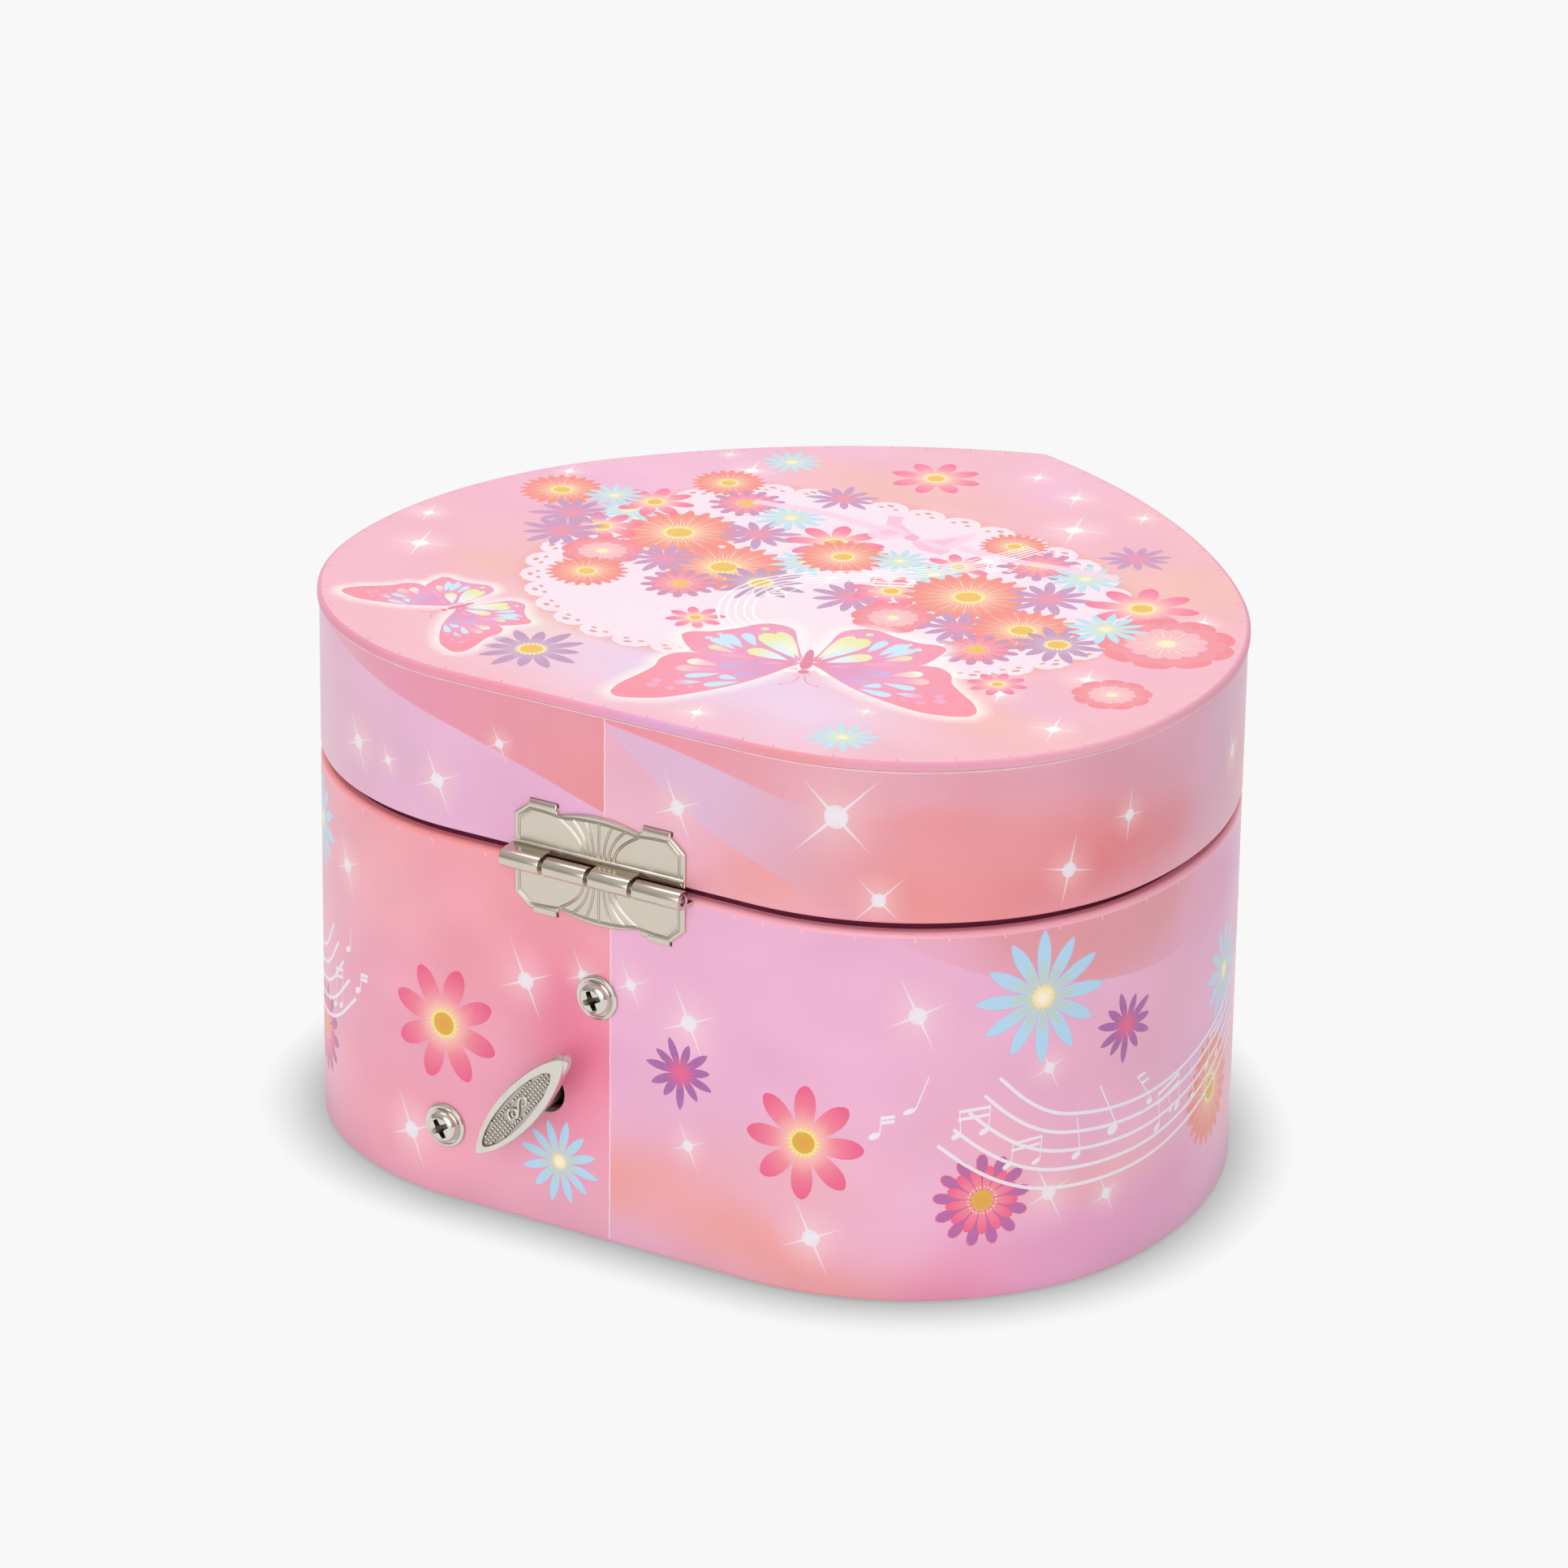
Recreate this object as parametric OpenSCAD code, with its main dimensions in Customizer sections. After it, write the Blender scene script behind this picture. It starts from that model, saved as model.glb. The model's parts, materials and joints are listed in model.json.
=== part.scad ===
// Wind-up music box: a heart-shaped, paper-covered jewellery case with a hinged lid, a
// wind-up comb movement on its back wall and a small turning butterfly inside.
// X is the width, the hinge is at +Y, the pointed front at -Y and the case stands on Z = 0.
// The origin is the middle of the heart's own width and depth, on the underside.

/* [Case outline] */
// Length of the straight stretch of the back wall
back_flat = 56.2; // [50:0.1:62]
// Radius of the rounded back shoulders
shoulder_r = 49.1; // [46:0.1:52]
// Radius of the sides
side_r = 75; // [73:0.5:78]
// Radius of the two front flanks that meet at the point
front_r = 133; // [128:1:140]
// Direction, from +X, in which shoulder turns into side
shoulder_turn = 9; // [7:0.5:11]
// Direction, from +X, in which side turns into front flank
side_turn = -38.5; // [-42:0.5:-36]

/* [Heights] */
// Height of the lower case up to its rim
case_h = 64.1; // [62:0.1:66]
// Slit left between the rim and the closed lid
lid_slit = 1.5; // [1.2:0.1:1.8]
// Height of the lid's side wall
lid_wall_h = 25.7; // [24:0.1:28]
// Height of the jewellery compartment's divider and of the cover over the movement
deck_z = 52; // [51:0.5:53]

/* [Boards and paper] */
// Thickness of the printed paper wrap
paper_t = 0.3; // [0.2:0.05:0.4]
// Thickness of the grey board in the walls
board_t = 2; // [1.8:0.1:2.2]
// Thickness of the flocked lining board
lining_t = 1.2; // [1:0.1:1.4]
// How far the lid's top panel stands proud of the lid wall
panel_proud = 0.35; // [0.2:0.05:0.5]
// Thickness of the lid's top panel without its paper
panel_t = 1.3; // [1:0.1:1.6]
// Thickness of the mirror
mirror_t = 1.2; // [1:0.1:1.5]

/* [Hinge] */
// Distance of the hinge pin from the back wall
pin_out = 3; // [2.9:0.05:3.2]
// Outer radius of the hinge barrel
barrel_r = 1.65; // [1.5:0.05:1.7]
// Radius of the hinge pin
pin_r = 0.75; // [0.6:0.05:0.8]
// Thickness of the hinge leaves
leaf_t = 0.7; // [0.5:0.05:0.8]

/* [Movement] */
// Winding shaft's place along the back wall
key_x = 10.3; // [9.5:0.1:11]
// Winding shaft's height
key_z = 24; // [23.5:0.1:24.5]
// Diameter of the hole that the key's stem passes
key_hole_d = 7.6; // [7:0.1:8.4]
// Angle of the resting key above the horizontal
key_angle = 51; // [0:1:90]
// Length of the key's leaf-shaped grip
key_len = 27; // [24:0.5:28]
// Width of the grip
key_w = 7; // [6:0.1:7.4]
// Teeth of the great wheel
wheel_teeth = 36; // [36]
// Teeth of the pinions that run on it
pinion_teeth = 12; // [12]
// Number of notes on the comb
notes = 18; // [12:1:18]

/* [Hidden] */
$fn = 48;
eps = 0.01;

// Centres of the outline's arcs before it is centred on its own depth
raw_c1 = [back_flat / 2, 0];
raw_c2 = raw_c1 + (shoulder_r - side_r) * [cos(shoulder_turn), sin(shoulder_turn)];
raw_c3 = raw_c2 + (side_r - front_r) * [cos(side_turn), sin(side_turn)];
raw_tip = raw_c3[1] - sqrt(pow(front_r, 2) - pow(raw_c3[0], 2));
centring = [0, -(shoulder_r + raw_tip) / 2];
c1 = raw_c1 + centring;
c2 = raw_c2 + centring;
c3 = raw_c3 + centring;
back_y = c1[1] + shoulder_r;

inner_in = paper_t + board_t;            // inset of the board's inner face
room_in = inner_in + lining_t;           // inset of the lining's inner face
lid_z = case_h + lid_slit;               // lower edge of the lid wall
panel_z = lid_z + lid_wall_h;            // underside of the lid's top panel
lining_top = case_h + 3.9;               // the lining stands above the rim and locates the lid
ceiling_z = panel_z - 1.6;
hinge_y = back_y + pin_out;
hinge_z = case_h + lid_slit / 2;
divider_y = 34.4;
upper_tabs = [[7.8, 13], [-13.6, -8.4]];  // x spans of the leaves' tabs that pass through the walls
lower_tabs = [[7.8, 12.2], [-13.6, -9.4]];

// The movement is drawn flat on the wall: its x is X, its y is Z and its z points to -Y,
// with its zero on the winding axis at the lining's inner face.
room_y = back_y - room_in;
upper_screw = [-10.1, 18.9];
lower_screw = [19.3, -11];
foot_h = 4;
plate_t = 2;
plate_top = foot_h + plate_t;
arbor_r = 2;
wheel_r = 14;
face_r = 12.75;                          // radius at which the pinions run on the great wheel
face_pitch_z = 12.75;                    // height of the great wheel's pitch plane
pinion_m = 2 * face_r / wheel_teeth;
axis_z = face_pitch_z + pinion_m * pinion_teeth / 2;
drum_x = 16.4;
drum_len = 15;
drum_r = 6;
pin_tip_r = 6.6;
gear_m = 0.4;
gear_teeth = 44;
gov_teeth = 10;
gov_y = gear_m * (gear_teeth + gov_teeth) / 2;
worm_teeth = 16;
worm_r = 1.4;
worm_x = 25;
worm_z = axis_z - gear_m * worm_teeth / 2 - worm_r;
worm_pitch = PI * gear_m;
worm_phase = 270;                        // puts the thread's crest between two wheel teeth at rest
gov_screw = [28.6, 22.9];
fly_y = gov_y + 5;
spring_turns = 7;
rod_x = 43;
rod_y = 60;
spindle_y = room_y - axis_z;

plum = [0.36, 0.10, 0.22];
board = [0.62, 0.57, 0.50];
rose = [0.93, 0.62, 0.72];
lilac = [0.92, 0.71, 0.84];
nickel = [0.78, 0.76, 0.73];
steel = [0.55, 0.56, 0.58];
brass = [0.80, 0.65, 0.30];

// ---- shared shapes ----

function on_circle(c, r, a) = c + r * [cos(a), sin(a)];

function arc(c, r, a0, a1, n) = [for (i = [0:n]) on_circle(c, r, a0 + (a1 - a0) * i / n)];

// Half of the outline on the +X side, inset by d, from the middle of the back to the front point
function half(d) = concat([[0, back_y - d]], arc(c1, shoulder_r - d, 90, shoulder_turn, 16),
    [for (i = [1:11]) on_circle(c2, side_r - d, shoulder_turn + (side_turn - shoulder_turn) * i / 12)],
    arc(c3, front_r - d, side_turn, -acos(-c3[0] / (front_r - d)), 9));

module heart(d) {
    right = half(d);
    last = len(right) - 1;
    polygon(concat(right, [for (i = [1:last - 1]) [-right[last - i][0], right[last - i][1]]]));
}

module slab(z0, z1, d) translate([0, 0, z0]) linear_extrude(z1 - z0) heart(d);

module shell(z0, z1, d_out, d_in) translate([0, 0, z0]) linear_extrude(z1 - z0)
    difference() { heart(d_out); heart(d_in); }

// The part of a heart slab behind or before a line across it
module slab_part(z0, z1, d, y0, y1) translate([0, 0, z0]) linear_extrude(z1 - z0)
    intersection() { heart(d); translate([-100, y0]) square([200, y1 - y0]); }

module on_wall() translate([key_x, room_y, key_z]) rotate([90, 0, 0]) children();

module along_x(x0) translate([x0, 0, 0]) rotate([90, 0, 90]) children();

module along_y(y0) translate([0, y0, 0]) rotate([-90, 0, 0]) children();

module tube(r_out, r_in, h) difference() {
    cylinder(r = r_out, h = h);
    translate([0, 0, -1]) cylinder(r = r_in, h = h + 2);
}

// Spur gear profile with straight-sided teeth, its first tooth on +x
module gear2d(n, m, add, ded, at_root, at_tip) {
    rp = n * m / 2;
    pitch = 360 / n;
    tooth = [[-at_root, -ded], [-at_tip, add], [at_tip, add], [at_root, -ded]];
    polygon([for (i = [0:n - 1]) for (k = tooth) on_circle([0, 0], rp + k[1], (i + k[0]) * pitch)]);
}

// Round wire coiled about z: points of one tube ring per step, closed by its two end faces
module coil(r, wire, turns, pitch) {
    steps = ceil(turns * 14);
    sides = 6;
    polyhedron(points = [for (i = [0:steps]) for (j = [0:sides - 1])
            let (a = 360 * turns * i / steps, b = 360 * j / sides, ring = r + wire * cos(b))
            [ring * cos(a), ring * sin(a), wire * sin(b) + pitch * turns * i / steps]],
        faces = concat([[for (j = [0:sides - 1]) j]], [[for (j = [sides - 1:-1:0]) steps * sides + j]],
            [for (i = [0:steps - 1]) for (j = [0:sides - 1]) let (k = (j + 1) % sides)
                [i * sides + j, (i + 1) * sides + j, (i + 1) * sides + k, i * sides + k]]));
}

module holes_in_back() {
    on_wall() translate([0, 0, -10]) cylinder(d = key_hole_d, h = 20);
    for (s = [upper_screw, lower_screw]) on_wall() translate([s[0], s[1], -10]) cylinder(r = 1.7, h = 20);
}

// ---- case ----

module base_board() color(board) slab(paper_t, paper_t + board_t, paper_t);

module base_felt() color(plum) slab(0, paper_t, 6.1);

module case_wall() color(board) difference() {
    shell(paper_t + board_t, case_h - paper_t, paper_t, inner_in);
    holes_in_back();
    leaf_slots(-1);
}

module case_wrap() color(rose) difference() {
    union() {
        shell(0, case_h, 0, paper_t);
        shell(case_h - paper_t, case_h, paper_t - eps, inner_in);
        shell(0, paper_t, paper_t - eps, 6);
    }
    holes_in_back();
    leaf_slots(-1);
}

// Its upper edge is pared thinner so that the lid comes down over it freely
module case_lining() color(plum) difference() {
    union() {
        shell(inner_in, case_h, inner_in, room_in);
        shell(case_h - eps, lining_top, inner_in + 0.5, room_in);
    }
    holes_in_back();
}

module tray_floor() color(plum) slab_part(inner_in, inner_in + 1.6, room_in, -100, divider_y);

module divider_board() color(plum) slab_part(inner_in, deck_z, room_in, divider_y, divider_y + 1.6);

module tray_partition() color(plum) translate([-0.8, -48, inner_in + 1.6]) cube([1.6, divider_y + 48, 38]);

module deck_board() color(plum) difference() {
    slab_part(deck_z, deck_z + 1.6, room_in, divider_y, 100);
    translate([key_x, spindle_y, deck_z - 1]) cylinder(r = 3, h = 4);
    translate([rod_x, rod_y, deck_z - 1]) cylinder(r = 2, h = 4);
}

// Two card blocks glued to the lining carry the deck's outer ends
module deck_blocks() color(board) for (x = [-90, 58]) translate([0, 0, deck_z - 6]) linear_extrude(6)
    intersection() { heart(room_in); translate([x, 41]) square([32, 9]); }

module ring_roll(i) color(plum) translate([12, 17 - 13.5 * i, inner_in + 1.6 + 6.2]) rotate([0, 90, 0]) {
    cylinder(r = 6.2, h = 40);
    for (z = [0, 40]) translate([0, 0, z]) sphere(r = 6.2);
}

// ---- hinge ----

// Leaf outline in x and height above the pin, for the half that points up
module leaf2d(tab_a, tab_b) {
    polygon([[15.8, 0.9], [15.8, 6.9], [13, 9.1], [-13.6, 9.1], [-16.3, 6.7], [-16.3, 0.9]]);
    intersection() {
        translate([-0.3, 9.35 - 24.7]) circle(r = 24.7, $fn = 96);
        translate([-8, 5]) square([15.4, 5]);
    }
    for (t = [tab_a, tab_b]) translate([t[0], 8]) square([t[1] - t[0], 1.75]);
}

module leaf(tab_a, tab_b) translate([0, back_y + leaf_t, 0]) rotate([90, 0, 0]) {
    linear_extrude(leaf_t) leaf2d(tab_a, tab_b);
    for (t = [tab_a, tab_b]) translate([t[0], 9.15, -eps])
        cube([t[1] - t[0], 0.6, leaf_t + inner_in - 0.1]);
}

module knuckle(x0, x1, up) translate([x0, hinge_y, 0]) difference() {
    union() {
        rotate([0, 90, 0]) cylinder(r = barrel_r, h = x1 - x0);
        translate([0, -pin_out, up > 0 ? 0.45 : -1.6]) cube([x1 - x0, pin_out, 1.15]);
    }
    translate([-1, 0, 0]) rotate([0, 90, 0]) cylinder(r = up > 0 ? pin_r + 0.05 : pin_r, h = x1 - x0 + 2);
}

module leaf_slots(up) for (t = up > 0 ? upper_tabs : lower_tabs)
    translate([t[0] - 0.1, back_y - 4, hinge_z + (up > 0 ? 9.05 : -9.85)])
        cube([t[1] - t[0] + 0.2, 5, 0.8]);

module hinge_leaf_upper() color(nickel) translate([0, 0, hinge_z]) {
    leaf(upper_tabs[0], upper_tabs[1]);
    knuckle(8.6, 16.2, 1);
    knuckle(-8.3, -0.35, 1);
}

module hinge_leaf_lower() color(nickel) translate([0, 0, hinge_z]) {
    mirror([0, 0, 1]) leaf(lower_tabs[0], lower_tabs[1]);
    knuckle(0.05, 8.2, -1);
    knuckle(-17.6, -8.7, -1);
}

module hinge_pin() color(steel) translate([-17.9, hinge_y, hinge_z]) rotate([0, 90, 0])
    cylinder(r = pin_r, h = 33.8);

// ---- lid ----

module lid_wall() color(board) difference() {
    shell(lid_z + paper_t, panel_z, paper_t, inner_in);
    leaf_slots(1);
}

module lid_wrap() color(lilac) difference() {
    union() {
        shell(lid_z, panel_z, 0, paper_t);
        shell(lid_z, lid_z + paper_t, paper_t - eps, inner_in);
    }
    leaf_slots(1);
}

module lid_panel() color(board) slab(panel_z, panel_z + panel_t, paper_t - panel_proud);

module lid_panel_wrap() color(rose) {
    shell(panel_z, panel_z + panel_t, -panel_proud, paper_t - panel_proud);
    slab(panel_z + panel_t, panel_z + panel_t + paper_t, -panel_proud);
}

module lid_lining() color(plum) shell(lining_top + 0.1, ceiling_z, inner_in, room_in);

module lid_ceiling() color(plum) slab(ceiling_z, panel_z, inner_in);

module mirror_frame() color(rose) shell(ceiling_z - 1, ceiling_z, 11, 16);

module mirror_glass() color([0.85, 0.88, 0.9]) slab(ceiling_z - mirror_t, ceiling_z, 16.1);

// Felt pad that presses the stop rod when the lid is down
module stop_pad() color(plum) translate([0, 0, lining_top + 0.3]) linear_extrude(3) intersection() {
    heart(room_in);
    translate([rod_x - 4, rod_y - 4]) square([10, 12]);
}

// ---- movement: frame ----

module screw(r_head, h_head, r_shank, len_shank) {
    translate([0, 0, -h_head]) difference() {
        cylinder(r = r_head, h = h_head);
        for (a = [0, 90]) rotate(a) translate([-r_head * 0.6, -0.3, -1])
            cube([r_head * 1.2, 0.6, 1 + h_head * 0.6]);
    }
    translate([0, 0, -eps]) cylinder(r = r_shank, h = len_shank + eps);
}

module movement_screws() color(nickel) on_wall() for (s = [upper_screw, lower_screw])
    translate([s[0], s[1], -room_in]) {
        screw(2.8, 2, 1.5, 9);
        translate([0, 0, -0.6]) tube(3.8, 2.7, 0.6);
    }

module post(x0, x1, hole_r) difference() {
    translate([x0, -2.6, plate_top - 1]) cube([x1 - x0, 5.2, axis_z - plate_top + 3.4]);
    translate([0, 0, axis_z]) along_x(x0 - 1) cylinder(r = hole_r, h = x1 - x0 + 2);
}

module bedplate() color(steel) on_wall() difference() {
    union() {
        translate([-14.5, -20.5, foot_h]) cube([49.1, 44.5, plate_t]);
        for (s = [upper_screw, lower_screw]) translate([s[0], s[1], 0.3]) cylinder(r = 3.2, h = foot_h);
        post(14.7, 15.9, 0.85);
        post(33.4, 34.6, 0.85);
        translate([drum_x, -20.5, plate_top - 1]) cube([drum_len, 6.6, axis_z - 0.6 - plate_top + 1]);
    }
    for (s = [upper_screw, lower_screw]) translate([s[0], s[1], -1]) cylinder(r = 1.5, h = plate_top + 2);
    translate([0, 0, -1]) cylinder(r = arbor_r + 0.05, h = plate_top + 2);
    for (x = [19.4, 28.4]) translate([x, -17.4, axis_z - 6]) cylinder(r = 0.8, h = 8);
    translate([gov_screw[0], gov_screw[1], foot_h - 1]) cylinder(r = 0.8, h = 4);
    translate([0, 19, foot_h - 1]) cylinder(r = 0.8, h = 4);
}

module spring_housing() color(nickel) on_wall() difference() {
    translate([0, 0, plate_top]) cylinder(r = 12.3, h = 4.4);
    translate([0, 0, plate_top - 1]) cylinder(r = 11.5, h = 5);
    cylinder(r = arbor_r + 0.3, h = 20);
}

// Flat spiral spring: the strip's middle line runs out evenly from the arbor to the housing
function spiral(i, off) = on_circle([0, 0], 2.5 + 8.7 * i / 20 / spring_turns + off, 18 * i);

module mainspring() color(steel) on_wall() translate([0, 0, plate_top + 0.2]) linear_extrude(3.4) {
    last = 20 * spring_turns;
    polygon(concat([for (i = [0:last]) spiral(i, 0)], [for (i = [last:-1:0]) spiral(i, 0.28)]));
}

module comb() color(steel) on_wall() difference() {
    translate([drum_x, 0, axis_z - 0.6]) linear_extrude(1.2) difference() {
        translate([0, -20.4]) square([drum_len, 13.6]);
        for (i = [1:notes - 1]) translate([i * drum_len / notes - 0.1, -13 + i * 0.12]) square([0.2, 8]);
    }
    for (x = [19.4, 28.4]) translate([x, -17.4, 0]) cylinder(r = 0.9, h = 30);
}

module comb_screws() color(nickel) on_wall() for (x = [19.4, 28.4])
    translate([x, -17.4, axis_z + 0.6]) rotate([180, 0, 0]) screw(1.7, 1.2, 0.8, 5);

// ---- movement: governor ----

module governor_frame() color(brass) on_wall() difference() {
    union() {
        translate([20.6, 7.2, plate_top]) cube([10, 18.4, 1]);
        for (y = [7.2, 24.6]) translate([22.2, y, plate_top]) cube([5.6, 1, worm_z - plate_top + 1.5]);
        for (x = [20.6, 29.6]) translate([x, gov_y - 2.4, plate_top])
            cube([1, 4.8, axis_z - plate_top + 2.4]);
    }
    translate([worm_x, 0, worm_z]) along_y(0) cylinder(r = 0.55, h = 40);
    translate([0, gov_y, axis_z]) along_x(10) cylinder(r = 0.65, h = 30);
    translate([gov_screw[0], gov_screw[1], 0]) cylinder(r = 0.9, h = 20);
}

module governor_screw() color(nickel) on_wall() translate([gov_screw[0], gov_screw[1], plate_top + 1])
    rotate([180, 0, 0]) screw(1.5, 0.9, 0.8, 2.6);

module governor_arbor() color(steel) on_wall() translate([0, gov_y, axis_z]) {
    along_x(20.2) cylinder(r = 0.6, h = 12.9);
    along_x(31.5) linear_extrude(1.4) rotate(18) gear2d(gov_teeth, gear_m, 0.34, 0.5, 0.26, 0.12);
}

module worm_wheel() color(brass) on_wall() translate([0, gov_y, axis_z]) along_x(worm_x - 0.6)
    linear_extrude(1.2) difference() {
        gear2d(worm_teeth, gear_m, 0.32, 0.48, 0.26, 0.12);
        circle(r = 0.59);
    }

// One-start thread: its radius, seen along the shaft, rises from core to crest and back once a turn
function thread_r(a) = let (t = abs(a / 180 - 1))
    worm_r + (t < 0.22 ? 0.3 : t > 0.52 ? -0.45 : 0.3 - 0.75 * (t - 0.22) / 0.3);

module worm_shaft() color(steel) on_wall() translate([worm_x, gov_y, worm_z]) {
    along_y(-2.5) rotate(worm_phase)
        linear_extrude(5, twist = -360 * 5 / worm_pitch, slices = 60, segments = 24)
            polygon([for (a = [0:15:345]) on_circle([0, 0], thread_r(a), a)]);
    along_y(-4) cylinder(r = 0.5, h = 18.6);
}

// Two-winged air brake, clamped on the worm shaft
module governor_fly() color([0.92, 0.92, 0.9]) on_wall() translate([worm_x, fly_y, worm_z]) along_y(0)
    difference() {
        union() {
            cylinder(r = 1.3, h = 5);
            for (a = [0, 180]) rotate(a) translate([0.9, -0.25, 0]) cube([4, 0.5, 5]);
        }
        translate([0, 0, -1]) cylinder(r = 0.49, h = 8);
    }

// Wire that the closing lid pushes down beside the air brake
module stop_rod() color(steel) {
    foot_z = key_z + fly_y + 5.5;
    translate([rod_x, rod_y, foot_z]) cylinder(r = 0.7, h = lining_top + 0.2 - foot_z);
    translate([rod_x, rod_y, foot_z]) rotate(-145) translate([0, -0.6, 0]) cube([4.6, 1.2, 1.2]);
}

module rod_guide() color(brass) translate([rod_x, rod_y, deck_z - 0.5]) {
    tube(1.95, 0.78, 2.5);
    translate([0, 0, 2.1]) tube(3, 0.78, 0.6);
}

// ---- movement: winding and drum ----

module grip2d(len, w) {
    r = (len * len + w * w) / (4 * w);
    intersection() {
        translate([0, r - w / 2]) circle(r = r, $fn = 96);
        translate([0, w / 2 - r]) circle(r = r, $fn = 96);
        translate([-len / 2 + 0.7, -w]) square([len - 1.4, 2 * w]);
    }
}

module winding_key() color(nickel) on_wall() {
    translate([0, 0, -room_in - 7.8]) rotate(180 - key_angle) difference() {
        linear_extrude(3) grip2d(key_len, key_w);
        translate([0, 0, -1]) linear_extrude(1.4) grip2d(key_len - 5, key_w - 2.2);
    }
    translate([0, 0, -room_in - 4.9]) tube(2.75, arbor_r, room_in + 4);
}

module winding_arbor() color(steel) on_wall() translate([0, 0, -room_in - 4]) {
    cylinder(r = arbor_r, h = room_in + 4 + 14.2);
    translate([0, 0, room_in + 4 + 13.8]) cylinder(r = 2.9, h = 0.5);
}

module great_wheel() color(brass) on_wall() difference() {
    union() {
        translate([0, 0, 10.8]) cylinder(r = wheel_r, h = 1.2);
        for (i = [0:wheel_teeth - 1]) rotate(i * 360 / wheel_teeth) translate([11.3, 0, 11.9])
            rotate([90, 0, 90]) linear_extrude(2.7) polygon([[-0.58, 0], [0.58, 0], [0.28, 1.4], [-0.28, 1.4]]);
    }
    translate([0, 0, 9]) cylinder(r = arbor_r + 0.05, h = 5);
    for (a = [0:72:288]) rotate(a) translate([7, 0, 9]) cylinder(r = 2.2, h = 5);
}

// Wire coil that grips the arbor in one direction only
module clutch_spring() color(steel) on_wall() translate([0, 0, 12.27]) coil(2.4, 0.25, 2.4, 0.5);

module music_cylinder() color(brass) on_wall() translate([0, 0, axis_z]) along_x(drum_x) difference() {
    cylinder(r = drum_r, h = drum_len);
    translate([0, 0, 1]) cylinder(r = drum_r - 0.6, h = drum_len - 2);
    translate([0, 0, -1]) cylinder(r = 0.79, h = drum_len + 2);
}

// Six pins on each note's track, spread by the golden angle as a tune would be
module cylinder_pins() color(steel) on_wall() translate([0, 0, axis_z]) along_x(drum_x)
    for (i = [0:notes - 1]) for (k = [0:5]) rotate((i * 6 + k) * 137.5)
        translate([drum_r - 0.3, 0, (i + 0.5) * drum_len / notes]) rotate([0, 90, 0])
            cylinder(r = 0.15, h = pin_tip_r - drum_r + 0.3, $fn = 6);

module cylinder_arbor() color(steel) on_wall() translate([0, 0, axis_z]) along_x(11.6)
    cylinder(r = 0.8, h = 23.4);

module pinion() linear_extrude(1.8) difference() {
    rotate(180 / pinion_teeth) gear2d(pinion_teeth, pinion_m, 0.58, 0.85, 0.26, 0.12);
    circle(r = 0.79);
}

module cylinder_pinion() color(brass) on_wall() translate([0, 0, axis_z]) along_x(11.9) pinion();

module cylinder_gear() color(brass) on_wall() translate([0, 0, axis_z]) along_x(31.7) linear_extrude(1)
    difference() {
        gear2d(gear_teeth, gear_m, 0.34, 0.5, 0.26, 0.13);
        circle(r = 0.79);
        for (a = [0:72:288]) rotate(a) translate([4.8, 0]) circle(r = 1.8);
    }

// ---- turning figure ----

module spindle_bracket() color(nickel) on_wall() difference() {
    union() {
        translate([-4, 15.6, plate_top]) cube([8, 7.4, 1]);
        for (y = [15.6, 22]) translate([-4, y, plate_top]) cube([8, 1, axis_z - plate_top + 3]);
    }
    translate([0, 0, axis_z]) along_y(0) cylinder(r = 0.85, h = 40);
    translate([0, 19, 0]) cylinder(r = 0.9, h = 20);
}

module bracket_screw() color(nickel) on_wall() translate([0, 19, plate_top + 1]) rotate([180, 0, 0])
    screw(1.5, 0.9, 0.8, 2.6);

module figure_spindle() color(steel) translate([key_x, spindle_y, key_z + 11.2]) {
    cylinder(r = 0.8, h = 28.8);
    translate([0, 0, 18.6]) cylinder(r = 2.4, h = 1);
}

module spindle_pinion() color(brass) translate([key_x, spindle_y, key_z + 11.9]) pinion();

module figure_spring() color(steel) translate([key_x, spindle_y, key_z + 31.1]) coil(1.5, 0.3, 6, 1.45);

module wing2d() {
    hull() {
        translate([1, 1]) circle(r = 1);
        translate([7.2, 7.6]) circle(r = 2.6);
        translate([8.4, 3.6]) circle(r = 1.6);
    }
    hull() {
        translate([1, -0.6]) circle(r = 1);
        translate([6, -3.6]) circle(r = 2.2);
    }
}

module butterfly() color([0.75, 0.6, 0.88]) translate([key_x, spindle_y, key_z + 47.2]) rotate([90, 0, 0]) {
    for (s = [0, 1]) mirror([s, 0, 0]) translate([0, 0, -0.5]) linear_extrude(1) wing2d();
    rotate([-90, 0, 0]) translate([0, 0, -7]) difference() {
        union() {
            cylinder(r = 1.5, h = 12);
            translate([0, 0, 12]) sphere(r = 1.5);
            cylinder(r = 2.4, h = 1.2);
        }
        translate([0, 0, -1]) cylinder(r = 0.8, h = 1.8);
    }
}

// ---- output ----

base_board();
base_felt();
case_wall();
case_wrap();
case_lining();
tray_floor();
divider_board();
tray_partition();
deck_board();
deck_blocks();
ring_roll(0);  // ring_roll_1
ring_roll(1);  // ring_roll_2
ring_roll(2);  // ring_roll_3
hinge_leaf_lower();
hinge_pin();
movement_screws();
lid_wall();
lid_wrap();
lid_panel();
lid_panel_wrap();
lid_lining();
lid_ceiling();
mirror_frame();
mirror_glass();  // lid_mirror
stop_pad();
hinge_leaf_upper();
bedplate();
spring_housing();
mainspring();
comb();
comb_screws();
governor_frame();
governor_screw();
spindle_bracket();
bracket_screw();
winding_key();
winding_arbor();
great_wheel();
clutch_spring();
music_cylinder();
cylinder_pins();
cylinder_arbor();
cylinder_pinion();
cylinder_gear();
governor_arbor();
worm_wheel();
worm_shaft();
governor_fly();
stop_rod();
rod_guide();
figure_spindle();
spindle_pinion();
figure_spring();
butterfly();
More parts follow.
